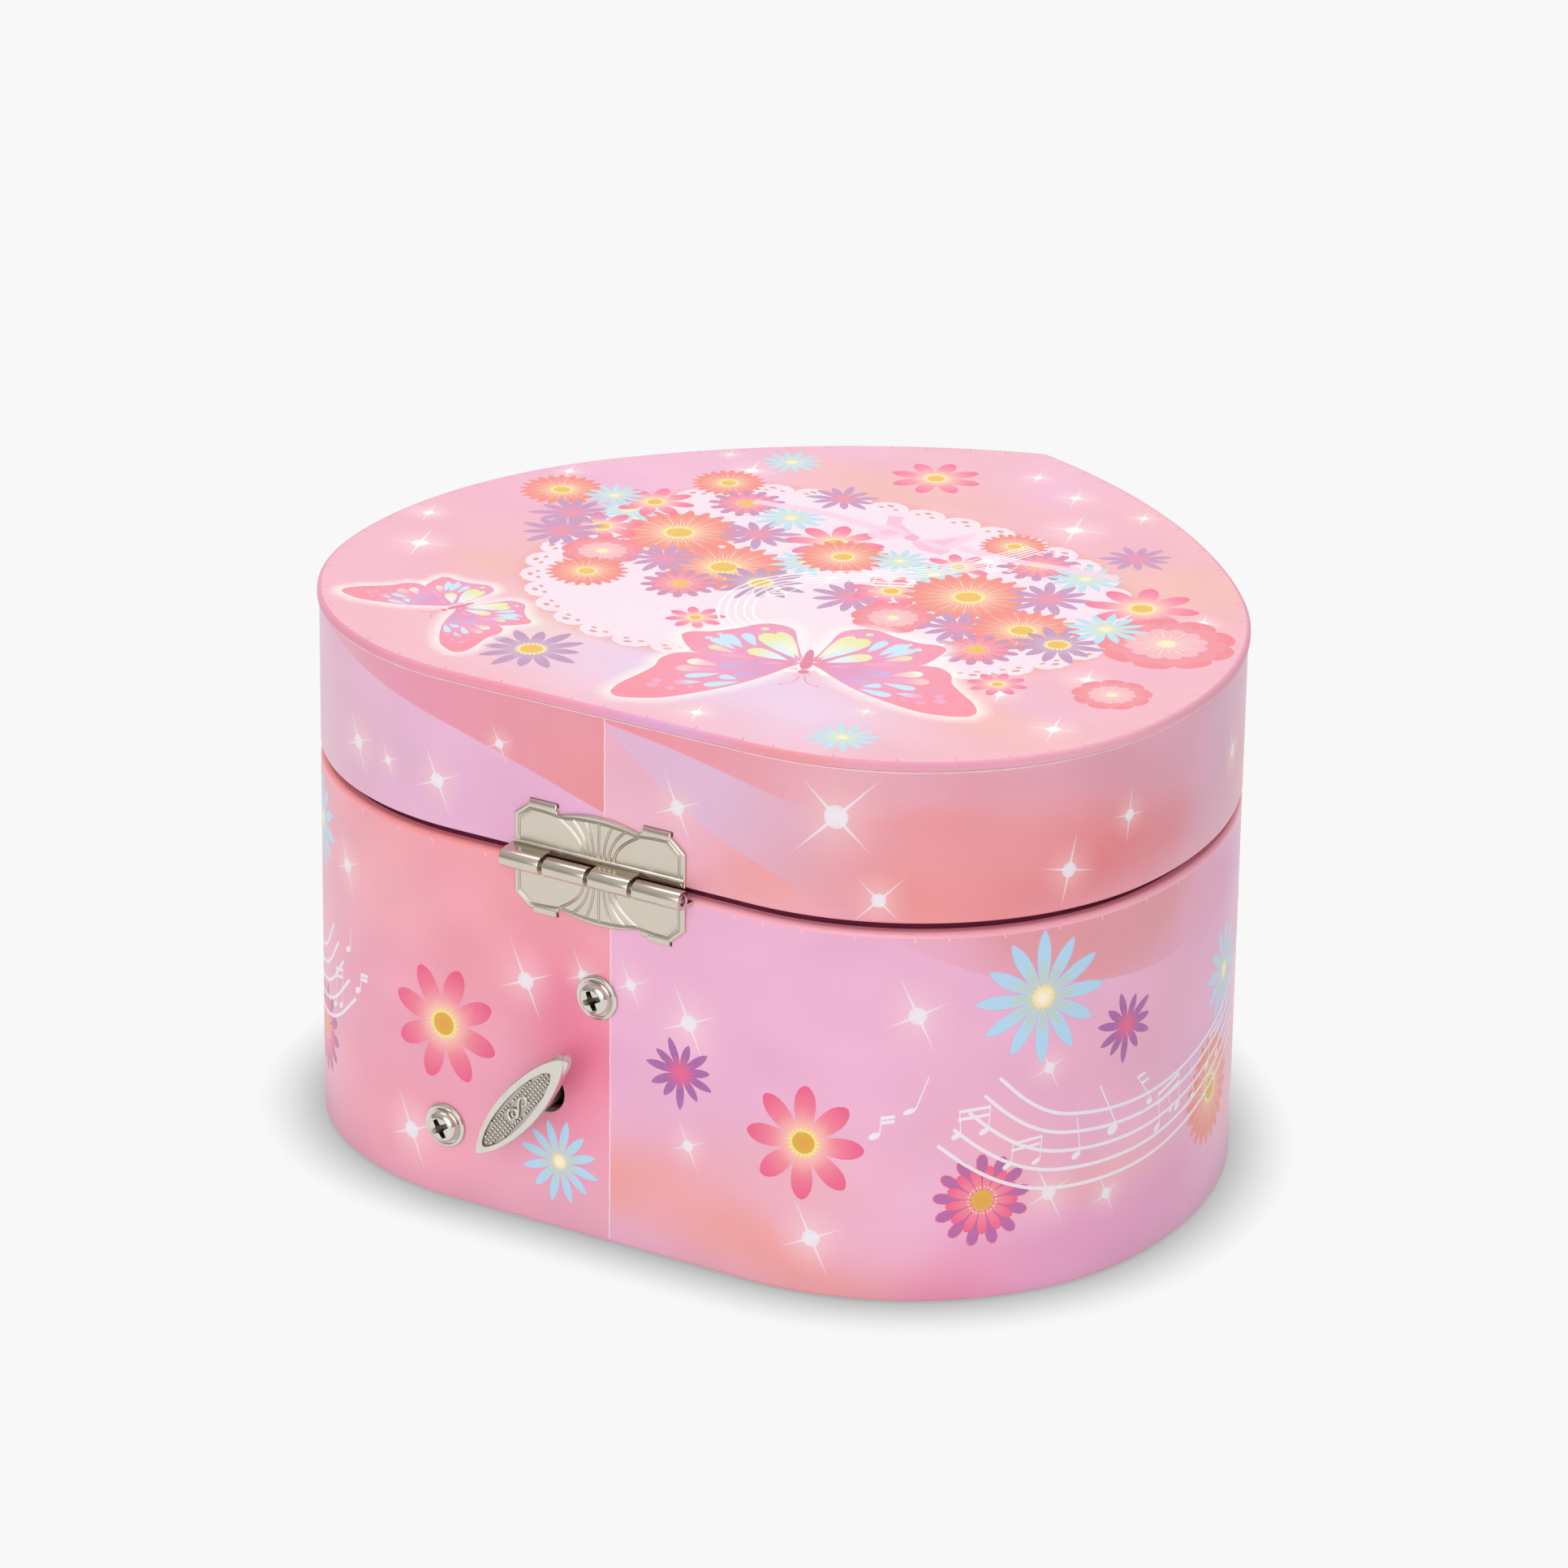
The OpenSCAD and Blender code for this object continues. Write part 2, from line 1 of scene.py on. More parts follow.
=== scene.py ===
"""Looks of a heart-shaped wind-up music box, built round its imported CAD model.

Printed paper is one sheet per surface: its artwork is drawn flat in millimetres, cut into triangles
along every printed edge, coloured at the corners and laid on the case. Lengths here are millimetres
until a mesh is made, and Blender's metres after that.
"""
import json
import math
import random

import bmesh
import bpy
from mathutils import Matrix, Vector, geometry, noise


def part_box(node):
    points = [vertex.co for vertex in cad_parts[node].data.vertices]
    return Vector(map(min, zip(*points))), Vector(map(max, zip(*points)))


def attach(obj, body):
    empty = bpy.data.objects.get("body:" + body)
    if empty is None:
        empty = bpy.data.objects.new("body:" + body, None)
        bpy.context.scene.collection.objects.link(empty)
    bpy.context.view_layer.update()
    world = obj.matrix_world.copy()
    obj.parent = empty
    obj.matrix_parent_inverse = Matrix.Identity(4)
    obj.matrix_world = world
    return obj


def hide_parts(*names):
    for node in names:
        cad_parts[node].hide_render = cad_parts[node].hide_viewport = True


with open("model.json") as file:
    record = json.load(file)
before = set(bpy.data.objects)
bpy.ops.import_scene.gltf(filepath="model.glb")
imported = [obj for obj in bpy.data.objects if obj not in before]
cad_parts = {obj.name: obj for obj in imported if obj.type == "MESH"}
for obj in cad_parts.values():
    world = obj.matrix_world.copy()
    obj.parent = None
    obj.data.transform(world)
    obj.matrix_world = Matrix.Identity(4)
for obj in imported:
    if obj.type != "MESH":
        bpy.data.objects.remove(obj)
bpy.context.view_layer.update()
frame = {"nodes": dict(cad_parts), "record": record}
MM = 0.001
CLOUD_SEED = 7            # without a seed, noise_vector takes one from the clock
noise.seed_set(CLOUD_SEED)


def low(node):
    """Lowest corner of a CAD node, in millimetres."""
    return Vector(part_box(node)[0]) / MM


def high(node):
    """Highest corner of a CAD node, in millimetres."""
    return Vector(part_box(node)[1]) / MM


# ---- the heart outline ----

BACK_FLAT = 56.2
SHOULDER_R = 49.1
SIDE_R = 75.0
FRONT_R = 133.0
SHOULDER_TURN = math.radians(9)
SIDE_TURN = math.radians(-38.5)
BACK_Y = high("case_wrap").y
BOARD = 2.3               # wall thickness: board and paper
SKIN = 0.02               # how far the visible paper stays inside the CAD surface
PANEL_PROUD = 0.35


def unit(angle):
    """Unit vector in that direction, in the plane."""
    return Vector((math.cos(angle), math.sin(angle)))


SHOULDER_C = Vector((BACK_FLAT / 2, BACK_Y - SHOULDER_R))
SIDE_C = SHOULDER_C + (SHOULDER_R - SIDE_R) * unit(SHOULDER_TURN)
FRONT_C = SIDE_C + (SIDE_R - FRONT_R) * unit(SIDE_TURN)
TIP_TURN = -math.acos(-FRONT_C.x / FRONT_R)
ARCS = (
    (SHOULDER_C, SHOULDER_R, math.pi / 2, SHOULDER_TURN),
    (SIDE_C, SIDE_R, SHOULDER_TURN, SIDE_TURN),
    (FRONT_C, FRONT_R, SIDE_TURN, TIP_TURN),
)
HALF_LENGTH = BACK_FLAT / 2 + sum(r * (a0 - a1) for _, r, a0, a1 in ARCS)


def outline(s, inset=0.0):
    """Point and outward normal of the heart at signed length s from the middle of the back, + towards +X."""
    side = 1 if s >= 0 else -1
    left = abs(s) - BACK_FLAT / 2
    if left <= 0:
        return Vector((s, BACK_Y - inset)), Vector((0, 1))
    for centre, r, a0, a1 in ARCS:
        if left <= r * (a0 - a1) or centre is FRONT_C:
            turn = unit(a0 - left / r)
            point = centre + (r - inset) * turn
            if point.x < 0:
                point = Vector((0, centre.y - math.sqrt((r - inset) ** 2 - centre.x ** 2)))
            return Vector((side * point.x, point.y)), Vector((side * turn.x, turn.y))
        left -= r * (a0 - a1)


def stations(step=2.0):
    """Even places along the whole outline."""
    count = round(2 * HALF_LENGTH / step)
    return [-HALF_LENGTH + 2 * HALF_LENGTH * i / count for i in range(count + 1)]


# ---- colour ----

def rgb(code):
    """'#rrggbb' as three numbers from 0 to 1, as a screen shows them."""
    return tuple(int(code[i:i + 2], 16) / 255 for i in (1, 3, 5))


def linear(colour):
    """Screen colour as the linear light that Blender mixes."""
    return tuple(c / 12.92 if c <= 0.04045 else ((c + 0.055) / 1.055) ** 2.4 for c in colour)


def mix(a, b, t):
    """Colour a turned into b by t."""
    return tuple(p + (q - p) * t for p, q in zip(a, b))


def flat(code, alpha=1.0):
    """Ink of one colour."""
    colour = rgb(code)
    return lambda p: (colour, alpha)


def radial(centre, stops):
    """Ink whose colour depends on the distance from centre: stops are (distance, colour[, alpha])."""
    stops = [(d, rgb(c), a[0] if a else 1.0) for d, c, *a in stops]
    centre = Vector(centre)

    def ink(p):
        d = (Vector(p) - centre).length
        for (d0, c0, a0), (d1, c1, a1) in zip(stops, stops[1:]):
            if d <= d1:
                t = max(0.0, (d - d0) / (d1 - d0))
                return mix(c0, c1, t), a0 + (a1 - a0) * t
        return stops[-1][1], stops[-1][2]
    return ink


def clouds(base, blobs, wobble=7.0, grain=0.0):
    """Ink of soft blobs (x, y, half width, half height, colour, strength) on a base colour."""
    base = rgb(base)
    blobs = [(x, y, rx, ry, rgb(c), k) for x, y, rx, ry, c, k in blobs]

    def ink(p):
        shift = noise.noise_vector(Vector((p[0] / 26, p[1] / 26, 3.1))) * wobble
        x, y = p[0] + shift.x, p[1] + shift.y
        colour = base
        for bx, by, rx, ry, c, k in blobs:
            colour = mix(colour, c, k * math.exp(-((x - bx) / rx) ** 2 - ((y - by) / ry) ** 2))
        puff = noise.noise(Vector((p[0] / 13, p[1] / 8, 7.7))) * grain
        return tuple(min(1.0, max(0.0, c + puff)) for c in colour), 1.0
    return ink


# ---- flat artwork ----

class Artwork:
    """Filled outlines in layers, the last on top. cut() turns them into one sheet of coloured triangles."""

    def __init__(self):
        self.points = []
        self.edges = []
        self.faces = []
        self.inks = []
        self.grounds = 0

    def ground(self, points, ink):
        """A filled outline that the sheet is made of. What lies outside every ground is cut off."""
        self.fill(points, ink)
        self.grounds = len(self.faces)

    def dots(self, points):
        """Corners for the triangles, which let a shade change smoothly."""
        first = len(self.points)
        self.points += [Vector((p[0], p[1])) for p in points]
        return list(range(first, len(self.points)))

    def crease(self, points):
        """A line that triangles don't cross."""
        ids = self.dots(points)
        self.edges += list(zip(ids, ids[1:]))

    def fill(self, points, ink):
        """A filled outline. With no ink it is a hole."""
        turn = sum(a[0] * b[1] - b[0] * a[1] for a, b in zip(points, points[1:] + points[:1]))
        self.faces.append(self.dots(points if turn > 0 else points[::-1]))
        self.inks.append(ink)

    def cut(self):
        """(points, triangles, colours): one colour for each corner of each triangle."""
        points, _, faces, _, _, covers = geometry.delaunay_2d_cdt(
            self.points, self.edges, self.faces, 1, 1e-4)
        shade = {}
        triangles, colours = [], []
        for face, cover in zip(faces, covers):
            layers = sorted(set(cover))
            if not layers or layers[0] >= self.grounds or any(self.inks[k] is None for k in layers):
                continue
            corners = []
            for v in face:
                colour = (1.0, 1.0, 1.0)
                for k in layers:
                    if (v, k) not in shade:
                        shade[v, k] = self.inks[k](points[v])
                    ink, alpha = shade[v, k]
                    colour = mix(colour, ink, alpha)
                corners.append(colour)
            triangles.append(tuple(face))
            colours.append(corners)
        return points, triangles, colours


def ring(centre, r, count, start=0.0):
    """Points round a circle."""
    return [(centre[0] + r * math.cos(start + math.tau * i / count),
             centre[1] + r * math.sin(start + math.tau * i / count)) for i in range(count)]


def petal(centre, turn, inner, outer, width, peak=0.66, tip=0.5, base=0.9, steps=8):
    """Outline of a petal from radius inner to outer, widest at peak of its length.

    tip and base set how round its ends are: 0.5 is round, 1 is pointed.
    """
    along, across = unit(turn), unit(turn + math.pi / 2)
    sides = []
    for i in range(steps + 1):
        t = (1 - math.cos(math.pi * i / steps)) / 2
        if t < peak:
            half = math.sin(math.pi / 2 * t / peak) ** base
        else:
            half = max(0.0, math.cos(math.pi / 2 * (t - peak) / (1 - peak))) ** tip
        sides.append((Vector(centre) + along * (inner + (outer - inner) * t), across * half * width / 2))
    return [p - q for p, q in sides] + [p + q for p, q in sides[-2:0:-1]]


def scallop(centre, r, lobes, depth, turn=0.0, per_lobe=6, sharp=1.0):
    """Outline of a disc with a lobed edge."""
    points = []
    for i in range(lobes * per_lobe):
        a = math.tau * i / (lobes * per_lobe)
        reach = abs(math.sin(lobes * a / 2)) ** sharp
        points.append((centre[0] + (r - depth + depth * reach) * math.cos(a + turn),
                       centre[1] + (r - depth + depth * reach) * math.sin(a + turn)))
    return points


def smooth_loop(points, steps=6):
    """Closed smooth curve through points."""
    points = [Vector(p) for p in points]
    count = len(points)
    curve = []
    for i in range(count):
        a, b, c, d = (points[(i + k) % count] for k in (-1, 0, 1, 2))
        for j in range(steps):
            t = j / steps
            curve.append(0.5 * (2 * b + (c - a) * t + (2 * a - 5 * b + 4 * c - d) * t * t
                                + (3 * b - a - 3 * c + d) * t ** 3))
    return curve


def smooth_line(points, steps=8):
    """Open smooth curve through points."""
    points = [Vector(p) for p in points]
    ends = [2 * points[0] - points[1]] + points + [2 * points[-1] - points[-2]]
    curve = []
    for a, b, c, d in zip(ends, ends[1:], ends[2:], ends[3:]):
        for j in range(steps):
            t = j / steps
            curve.append(0.5 * (2 * b + (c - a) * t + (2 * a - 5 * b + 4 * c - d) * t * t
                                + (3 * b - a - 3 * c + d) * t ** 3))
    return curve + [points[-1]]


def ribbon(points, width, taper=0.0):
    """Outline of a band along a line; taper narrows it towards its end."""
    left, right = [], []
    for i, p in enumerate(points):
        ahead = points[min(i + 1, len(points) - 1)] - points[max(i - 1, 0)]
        side = Vector((-ahead.y, ahead.x)).normalized() * width / 2 * (1 - taper * i / (len(points) - 1))
        left.append(p + side)
        right.append(p - side)
    return left + right[::-1]


def inset_loop(points, inset):
    """A counterclockwise outline moved inwards."""
    moved = []
    for a, b, c in zip(points[-1:] + points[:-1], points, points[1:] + points[:1]):
        n0 = Vector((a[1] - b[1], b[0] - a[0])).normalized()
        n1 = Vector((b[1] - c[1], c[0] - b[0])).normalized()
        moved.append(Vector(b) + (n0 + n1) * inset / max(0.4, 1 + n0.dot(n1)))
    return moved


def turn_of(points):
    """Twice the signed area: positive if the outline runs counterclockwise."""
    return sum(a[0] * b[1] - b[0] * a[1] for a, b in zip(points, points[1:] + points[:1]))


# ---- flowers, stars and notes ----

WALL_EYE = ("#f6e08a", "#dcb036", "#e79c44")          # pale ring, gold, warm middle
TOP_EYE = ("#faeeaa", "#f0c870", "#f2c168")


def mix_code(a, b, t):
    """Two '#rrggbb' colours mixed."""
    return "#" + "".join(f"{round(255 * c):02x}" for c in mix(rgb(a), rgb(b), t))


def glow_disc(art, c, r, code, strength):
    """A soft round glow that fades out."""
    for share in (0.3, 0.55, 0.8):
        art.dots(ring(c, r * share, 12, share))
    art.fill(ring(c, r, 20), radial(c, [
        (0, code, strength), (r * 0.35, code, strength * 0.7), (r * 0.65, code, strength * 0.25),
        (r, code, 0.0)]))


def golden_eye(art, c, r, eye, spikes=20):
    """Gold centre in a pale, spiky ring."""
    pale, gold, heart = eye
    art.fill(scallop(c, r * 1.5, spikes, r * 0.42, sharp=2.0, per_lobe=4), flat(pale))
    art.fill(ring(c, r, 20), radial(c, [(0, heart), (0.45 * r, mix_code(heart, gold, 0.4)), (r, gold)]))


def pink_flower(art, c, r, turn=0.0, tip="#ec5c88", base="#f8bcae", eye=WALL_EYE):
    for i in range(8):
        a = turn + math.tau * i / 8
        art.fill(petal(c, a, 0.02 * r, r, 0.37 * r, peak=0.68, tip=0.52, base=0.8, steps=10),
                 radial(c, [(0.2 * r, mix_code(base, eye[0], 0.2)), (0.3 * r, base),
                            (0.55 * r, mix_code(base, tip, 0.6)), (0.95 * r, tip)]))
    golden_eye(art, c, 0.19 * r, eye)


def blue_flower(art, c, r, turn=0.0, petals="#b2d6f0", vein="#c9cfae", edge="#cdb4d6", heart="#f7d68c"):
    """Slim blue petals, each with three fine veins, round a soft yellow light."""
    for i in range(12):
        a = turn + math.tau * i / 12
        reach = r * (1.0, 0.93, 0.97)[i % 3]
        art.fill(petal(c, a, 0.04 * r, reach + 0.02 * r, 0.235 * r, peak=0.62, tip=0.72, base=0.8),
                 flat(edge, 0.6))
        art.fill(petal(c, a, 0.05 * r, reach, 0.205 * r, peak=0.62, tip=0.72, base=0.8), flat(petals))
        for spread, length in ((-0.1, 0.5), (0.0, 0.62), (0.1, 0.5)):
            art.fill(petal(c, a + spread, 0.12 * r, length * r, 0.026 * r, tip=1.0, steps=3), flat(vein))
    glow_disc(art, c, 0.3 * r, heart, 0.75)
    art.fill(scallop(c, 0.2 * r, 14, 0.05 * r, sharp=2.0, per_lobe=4),
             radial(c, [(0, "#fbf6ea"), (0.08 * r, "#fbeed0"), (0.2 * r, heart)]))


def purple_flower(art, c, r, turn=0.0, petals="#a860a4", heart="#ee6088", count=11):
    """Uneven slim petals that glow pink towards the middle."""
    for i in range(count):
        a = turn + math.tau * i / count + 0.07 * math.sin(5 * i)
        reach = r * (1.0, 0.86, 0.95, 0.82)[i % 4]
        art.fill(petal(c, a, 0.03 * r, reach, 0.235 * r, peak=0.6, tip=0.62, base=0.8),
                 radial(c, [(0.1 * r, heart), (0.28 * r, mix_code(heart, petals, 0.6)), (0.5 * r, petals),
                            (r, mix_code(petals, "#ffffff", 0.06))]))
    for i in range(count):
        a = turn + math.tau * i / count + 0.07 * math.sin(5 * i)
        art.fill(petal(c, a, 0.1 * r, 0.5 * r, 0.022 * r, tip=1.0, steps=3), flat(heart, 0.75))
    art.fill(ring(c, 0.15 * r, 14), radial(c, [(0, heart), (0.15 * r, mix_code(heart, petals, 0.25))]))


def violet_flower(art, c, r, turn=0.0, petals="#bb97cc", count=12, eye=TOP_EYE):
    """Purple petals round a golden eye."""
    for i in range(count):
        a = turn + math.tau * i / count
        art.fill(petal(c, a, 0.04 * r, r * (1.0, 0.84, 0.94)[i % 3], 0.23 * r, peak=0.62, tip=0.66, base=0.8),
                 radial(c, [(0.2 * r, mix_code(petals, "#ffffff", 0.25)), (0.6 * r, petals), (r, petals)]))
    golden_eye(art, c, 0.2 * r, eye)


def double_flower(art, c, r, turn=0.0, outer="#b466a6", inner="#f25f88", eye=WALL_EYE):
    """Club-shaped petals in two rings, a pink one on a purple one, and a ring of pale dots."""
    for i in range(13):
        a = turn + math.tau * i / 13
        art.fill(petal(c, a, 0.2 * r, r * 1.02, 0.255 * r, peak=0.8, tip=0.5), flat(inner, 0.8))
        art.fill(petal(c, a, 0.2 * r, r, 0.225 * r, peak=0.8, tip=0.5),
                 radial(c, [(0.5 * r, mix_code(outer, inner, 0.25)), (r, outer)]))
    for i in range(13):
        a = turn + math.tau * (i + 0.5) / 13
        art.fill(petal(c, a, 0.08 * r, 0.76 * r, 0.2 * r, peak=0.76, tip=0.5),
                 radial(c, [(0.25 * r, mix_code(inner, "#fbc0b4", 0.5)), (0.72 * r, inner)]))
    for i in range(22):
        art.fill(ring(Vector(c) + 0.29 * r * unit(math.tau * i / 22), 0.022 * r, 5), flat(eye[0]))
    art.fill(ring(c, 0.22 * r, 18), radial(c, [(0, eye[2]), (0.22 * r, eye[1])]))


def coral_flower(art, c, r, turn=0.0, petals="#f0857c", rays="#f9c8a8", count=22, eye=WALL_EYE):
    """Two layers of short pointed petals with fine light rays."""
    for layer in (0, 1):
        reach = r * (1.0 - 0.16 * layer)
        shade = mix_code(petals, rays, 0.02 + 0.16 * layer)
        art.fill(scallop(c, reach, count, 0.26 * r, turn + layer * math.pi / count, sharp=1.25, per_lobe=6),
                 radial(c, [(0.2 * r, mix_code(petals, rays, 0.6)), (0.38 * r, mix_code(petals, rays, 0.22)),
                            (0.55 * r, shade), (r, petals)]))
    for i in range(2 * count):
        a = turn + math.pi * i / count
        reach = r * (0.78, 0.5, 0.64, 0.46)[i % 4]
        art.fill(petal(c, a, 0.24 * r, reach, 0.022 * r, peak=0.3, tip=1.0, steps=3), flat(rays, 0.85))
    golden_eye(art, c, 0.2 * r, eye)


def rosette(art, c, r, turn=0.0, outer="#f5828f", inner="#fab0b0"):
    art.fill(scallop(c, r, 9, 0.13 * r, turn, sharp=0.5, per_lobe=8), flat(outer))
    art.fill(scallop(c, 0.84 * r, 9, 0.13 * r, turn + 0.35, sharp=0.5, per_lobe=8),
             flat(mix_code(outer, inner, 0.22)))
    art.fill(scallop(c, 0.6 * r, 12, 0.09 * r, turn, sharp=0.6),
             radial(c, [(0.1 * r, mix_code(inner, "#fde6d4", 0.4)), (0.3 * r, inner), (0.6 * r, inner)]))
    for i in range(18):
        reach = r * (0.52 if i % 2 else 0.38)
        art.fill(petal(c, turn + math.tau * i / 18, 0.1 * r, reach, 0.024 * r, tip=1.0, steps=3),
                 flat("#fde0cc", 0.9))
    art.fill(scallop(c, 0.17 * r, 12, 0.06 * r, sharp=2.0, per_lobe=4), flat("#fdf2c4"))


def sparkle(art, c, size, turn=0.35, glow="#f8d2d8", white="#eee6ee", strength=0.55):
    """A star of light: soft glow, four thin rays and a bright spot; size is the spot's radius."""
    glow_disc(art, c, 4.6 * size, glow, strength)
    for k in range(4):
        a = turn + math.pi / 2 * k
        length = size * (5.2 if k % 2 else 4.0)
        art.fill([Vector(c) + unit(a) * reach + unit(a + math.pi / 2) * half for reach, half in (
            (0.3 * size, -0.17 * size), (length, 0.0), (0.3 * size, 0.17 * size))],
            radial(c, [(0, white, 0.95), (length, white, 0.5)]))
    art.fill(ring(c, size, 16), radial(c, [(0, white), (0.7 * size, white), (size, white, 0.75)]))


NOTE_INK = "#efe6ef"


def note(art, head, top, size, flags=0, ink=NOTE_INK, way=(-1, 0)):
    """A note: oval head, stem and flags; way is the direction seen as rightwards."""
    head, top, way = Vector(head), Vector(top), Vector(way)
    up = (top - head).normalized()
    oval = [head + (way * (0.86 * math.cos(t) - 0.1 * math.sin(t))
                    + up * (0.6 * math.sin(t) + 0.34 * math.cos(t))) * size
            for t in (math.tau * i / 16 for i in range(16))]
    art.fill(oval, flat(ink))
    foot = head + (way * 0.78 + up * 0.35) * size
    top = top + way * 0.6 * size if flags else top
    art.fill(ribbon([foot, top], 0.2 * size), flat(ink))
    for k in range(flags):
        start = top + (foot - top) * 0.26 * k
        end = start + way * 2.1 * size + up * 0.35 * size
        thick = (foot - top).normalized() * 0.62 * size
        art.fill([start, end, end + thick, start + thick], flat(ink))


def beamed(art, heads, tops, size, ink=NOTE_INK, way=(-1, 0)):
    """Two notes joined by a double beam."""
    for head, top in zip(heads, tops):
        note(art, head, top, size, ink=ink, way=way)
    a, b = (Vector(top) for top in tops)
    down = (Vector(heads[0]) - a).normalized()
    for drop in (0.0, 1.5):
        start, end = a + down * drop * size, b + down * drop * size
        art.fill([start, end, end + down * 0.62 * size, start + down * 0.62 * size], flat(ink))


def staff(art, spine, gap_start, gap_end, width=0.55, lines=5, ink=NOTE_INK, alpha=0.95):
    """Five lines that run along a curve and draw together or apart."""
    spine = smooth_line(spine, 6)
    for k in range(lines):
        off = k - (lines - 1) / 2
        track = []
        for i, p in enumerate(spine):
            ahead = spine[min(i + 1, len(spine) - 1)] - spine[max(i - 1, 0)]
            side = Vector((-ahead.y, ahead.x)).normalized()
            track.append(p + side * off * (gap_start + (gap_end - gap_start) * i / (len(spine) - 1)))
        art.fill(ribbon(track, width), flat(ink, alpha))


# ---- butterflies ----
# The places of what the photograph shows, and the wing's shape, were computed from the photograph by a
# scratch program and then rounded, and the inks started from its colours.

FORE_WING = (
    (1, 0.5), (3, 3.5), (5.5, 7), (9.5, 11.5), (14.5, 15.5), (20, 19), (24, 20), (27.5, 20), (29, 18.5),
    (29, 16.5), (28, 13.5), (26, 10), (24, 6), (23.5, 2.5), (22, 0), (20, -1), (17, -1), (8, 0.5),
)
HIND_WING = (
    (1, 0), (1.5, -3.5), (2.5, -8), (3.5, -13), (5, -15), (8, -16), (10.5, -15), (13, -13), (17, -11),
    (20, -10.5), (21.5, -9), (21, -6.5), (19.5, -3), (17.5, -1), (8, 1),
)
LEMON, CREAM, SKY, ICE = "#f0ecb4", "#f4f4e0", "#d0e8f6", "#e4f2f6"
BLUSH, PETAL_PINK, MAUVE = "#f8cccc", "#f4b0cc", "#e2a4cc"
WING_CELLS = (
    # outer end, inner end, width, colour at the inner and outer end
    (8.5, -11.5, 2, -1, 3, ICE, LEMON), (6, -12.5, 1.5, -1.5, 2, CREAM, LEMON),
    (10, -4, 3, 0, 2.5, ICE, LEMON), (11.5, -11, 9, -5.5, 1.5, SKY, SKY),
    (15, -10, 11, -4.5, 2, SKY, SKY), (16.5, -8, 12, -3.5, 1.5, SKY, SKY),
    (16.5, -4.5, 12, -2, 1.5, BLUSH, LEMON), (14, -1, 8.5, 0, 1, PETAL_PINK, PETAL_PINK),
    (9, 1.5, 3, 1.5, 1, PETAL_PINK, MAUVE), (14, 4, 3.5, 2.5, 2.5, MAUVE, "#d8b4dc"),
    (11, 8.5, 3.5, 4, 2, MAUVE, "#d8b4dc"), (13, 8.5, 10, 9.5, 1.5, SKY, SKY),
    (15, 13, 9.5, 10.5, 1.5, SKY, SKY), (18.5, 9.5, 13, 7.5, 1.5, SKY, SKY),
    (19, 2.5, 14, 4, 2, BLUSH, CREAM), (20.5, 6, 13.5, 6, 2, PETAL_PINK, BLUSH),
    (20, 12.5, 15.5, 11.5, 1.5, "#d4e0f4", PETAL_PINK),
)
WING_SPOTS = (
    (17, -8, 0.7, SKY), (15.5, -10, 0.5, SKY), (8.5, -13.5, 0.7, LEMON), (22.5, 12, 0.8, PETAL_PINK),
    (23, 14, 1, PETAL_PINK), (21.5, 9.5, 0.6, MAUVE), (20, 15, 0.8, PETAL_PINK), (17, 14, 0.5, PETAL_PINK),
)


def butterfly_print(art, c, size, turn):
    """A butterfly with its head towards turn: glow, wings, coloured cells and body."""
    ahead, across = unit(turn), unit(turn - math.pi / 2)
    body, mid, edge_pink = "#ec98b4", "#f0a8c8", "#f89cac"
    for side in (1, -1):
        def place(x, y, side=side):
            return Vector(c) + (across * side * x + ahead * y) * size
        wings = [smooth_loop([place(*p) for p in wing], 4) for wing in (FORE_WING, HIND_WING)]
        for wing in wings:
            rim = inset_loop(wing if turn_of(wing) > 0 else wing[::-1], -1.5 - 1.6 * size)

            def glow(p, wing=wing):
                away = min((Vector(p) - q).length for q in wing)
                return (1.0, 0.975, 0.955), 0.85 * max(0.0, 1 - away / (1.5 + 1.6 * size)) ** 1.3
            art.fill(rim, glow)
        for wing in wings:
            art.fill(wing, radial(c, [(0, body), (7 * size, mix_code(body, mid, 0.6)), (15 * size, mid),
                                      (21 * size, mix_code(mid, edge_pink, 0.7)), (29 * size, edge_pink)]))
        for x, y, x0, y0, width, inner, outer in WING_CELLS:
            start, end = Vector((x0, y0)), Vector((x, y))
            reach = (end - start).length
            a = math.atan2(y - y0, x - x0)
            cell = petal(start, a, 0.0, reach, 1.35 * width, peak=0.78, tip=0.5, base=1.0, steps=7)
            art.fill([place(*p) for p in cell],
                     radial(place(x0, y0), [(0, inner), (0.45 * reach * size, inner),
                                            (0.8 * reach * size, outer)]))
        for x, y, r, code in WING_SPOTS:
            art.fill([place(*p) for p in ring((x, y), r, 10)], flat(code))
        feeler = [place(*p) for p in ((0.5, 6.4), (0.7, 8.2), (1.5, 9.8), (3.0, 10.6))]
        art.fill(ribbon(smooth_line(feeler, 3), 0.2), flat(body))
        art.fill(ring(feeler[-1], 0.26 * size, 8), flat(body))
    for along, length, width in ((-1.6, 3.8, 1.6), (1.0, 2.6, 2.1), (4.6, 0.9, 1.9)):
        middle = Vector(c) + ahead * along * size
        art.fill([middle + (ahead * length * math.cos(t) + across * width / 2 * math.sin(t)) * size
                  for t in (math.tau * i / 16 for i in range(16))], flat(mix_code(body, "#d06488", 0.2)))


# ---- meshes ----

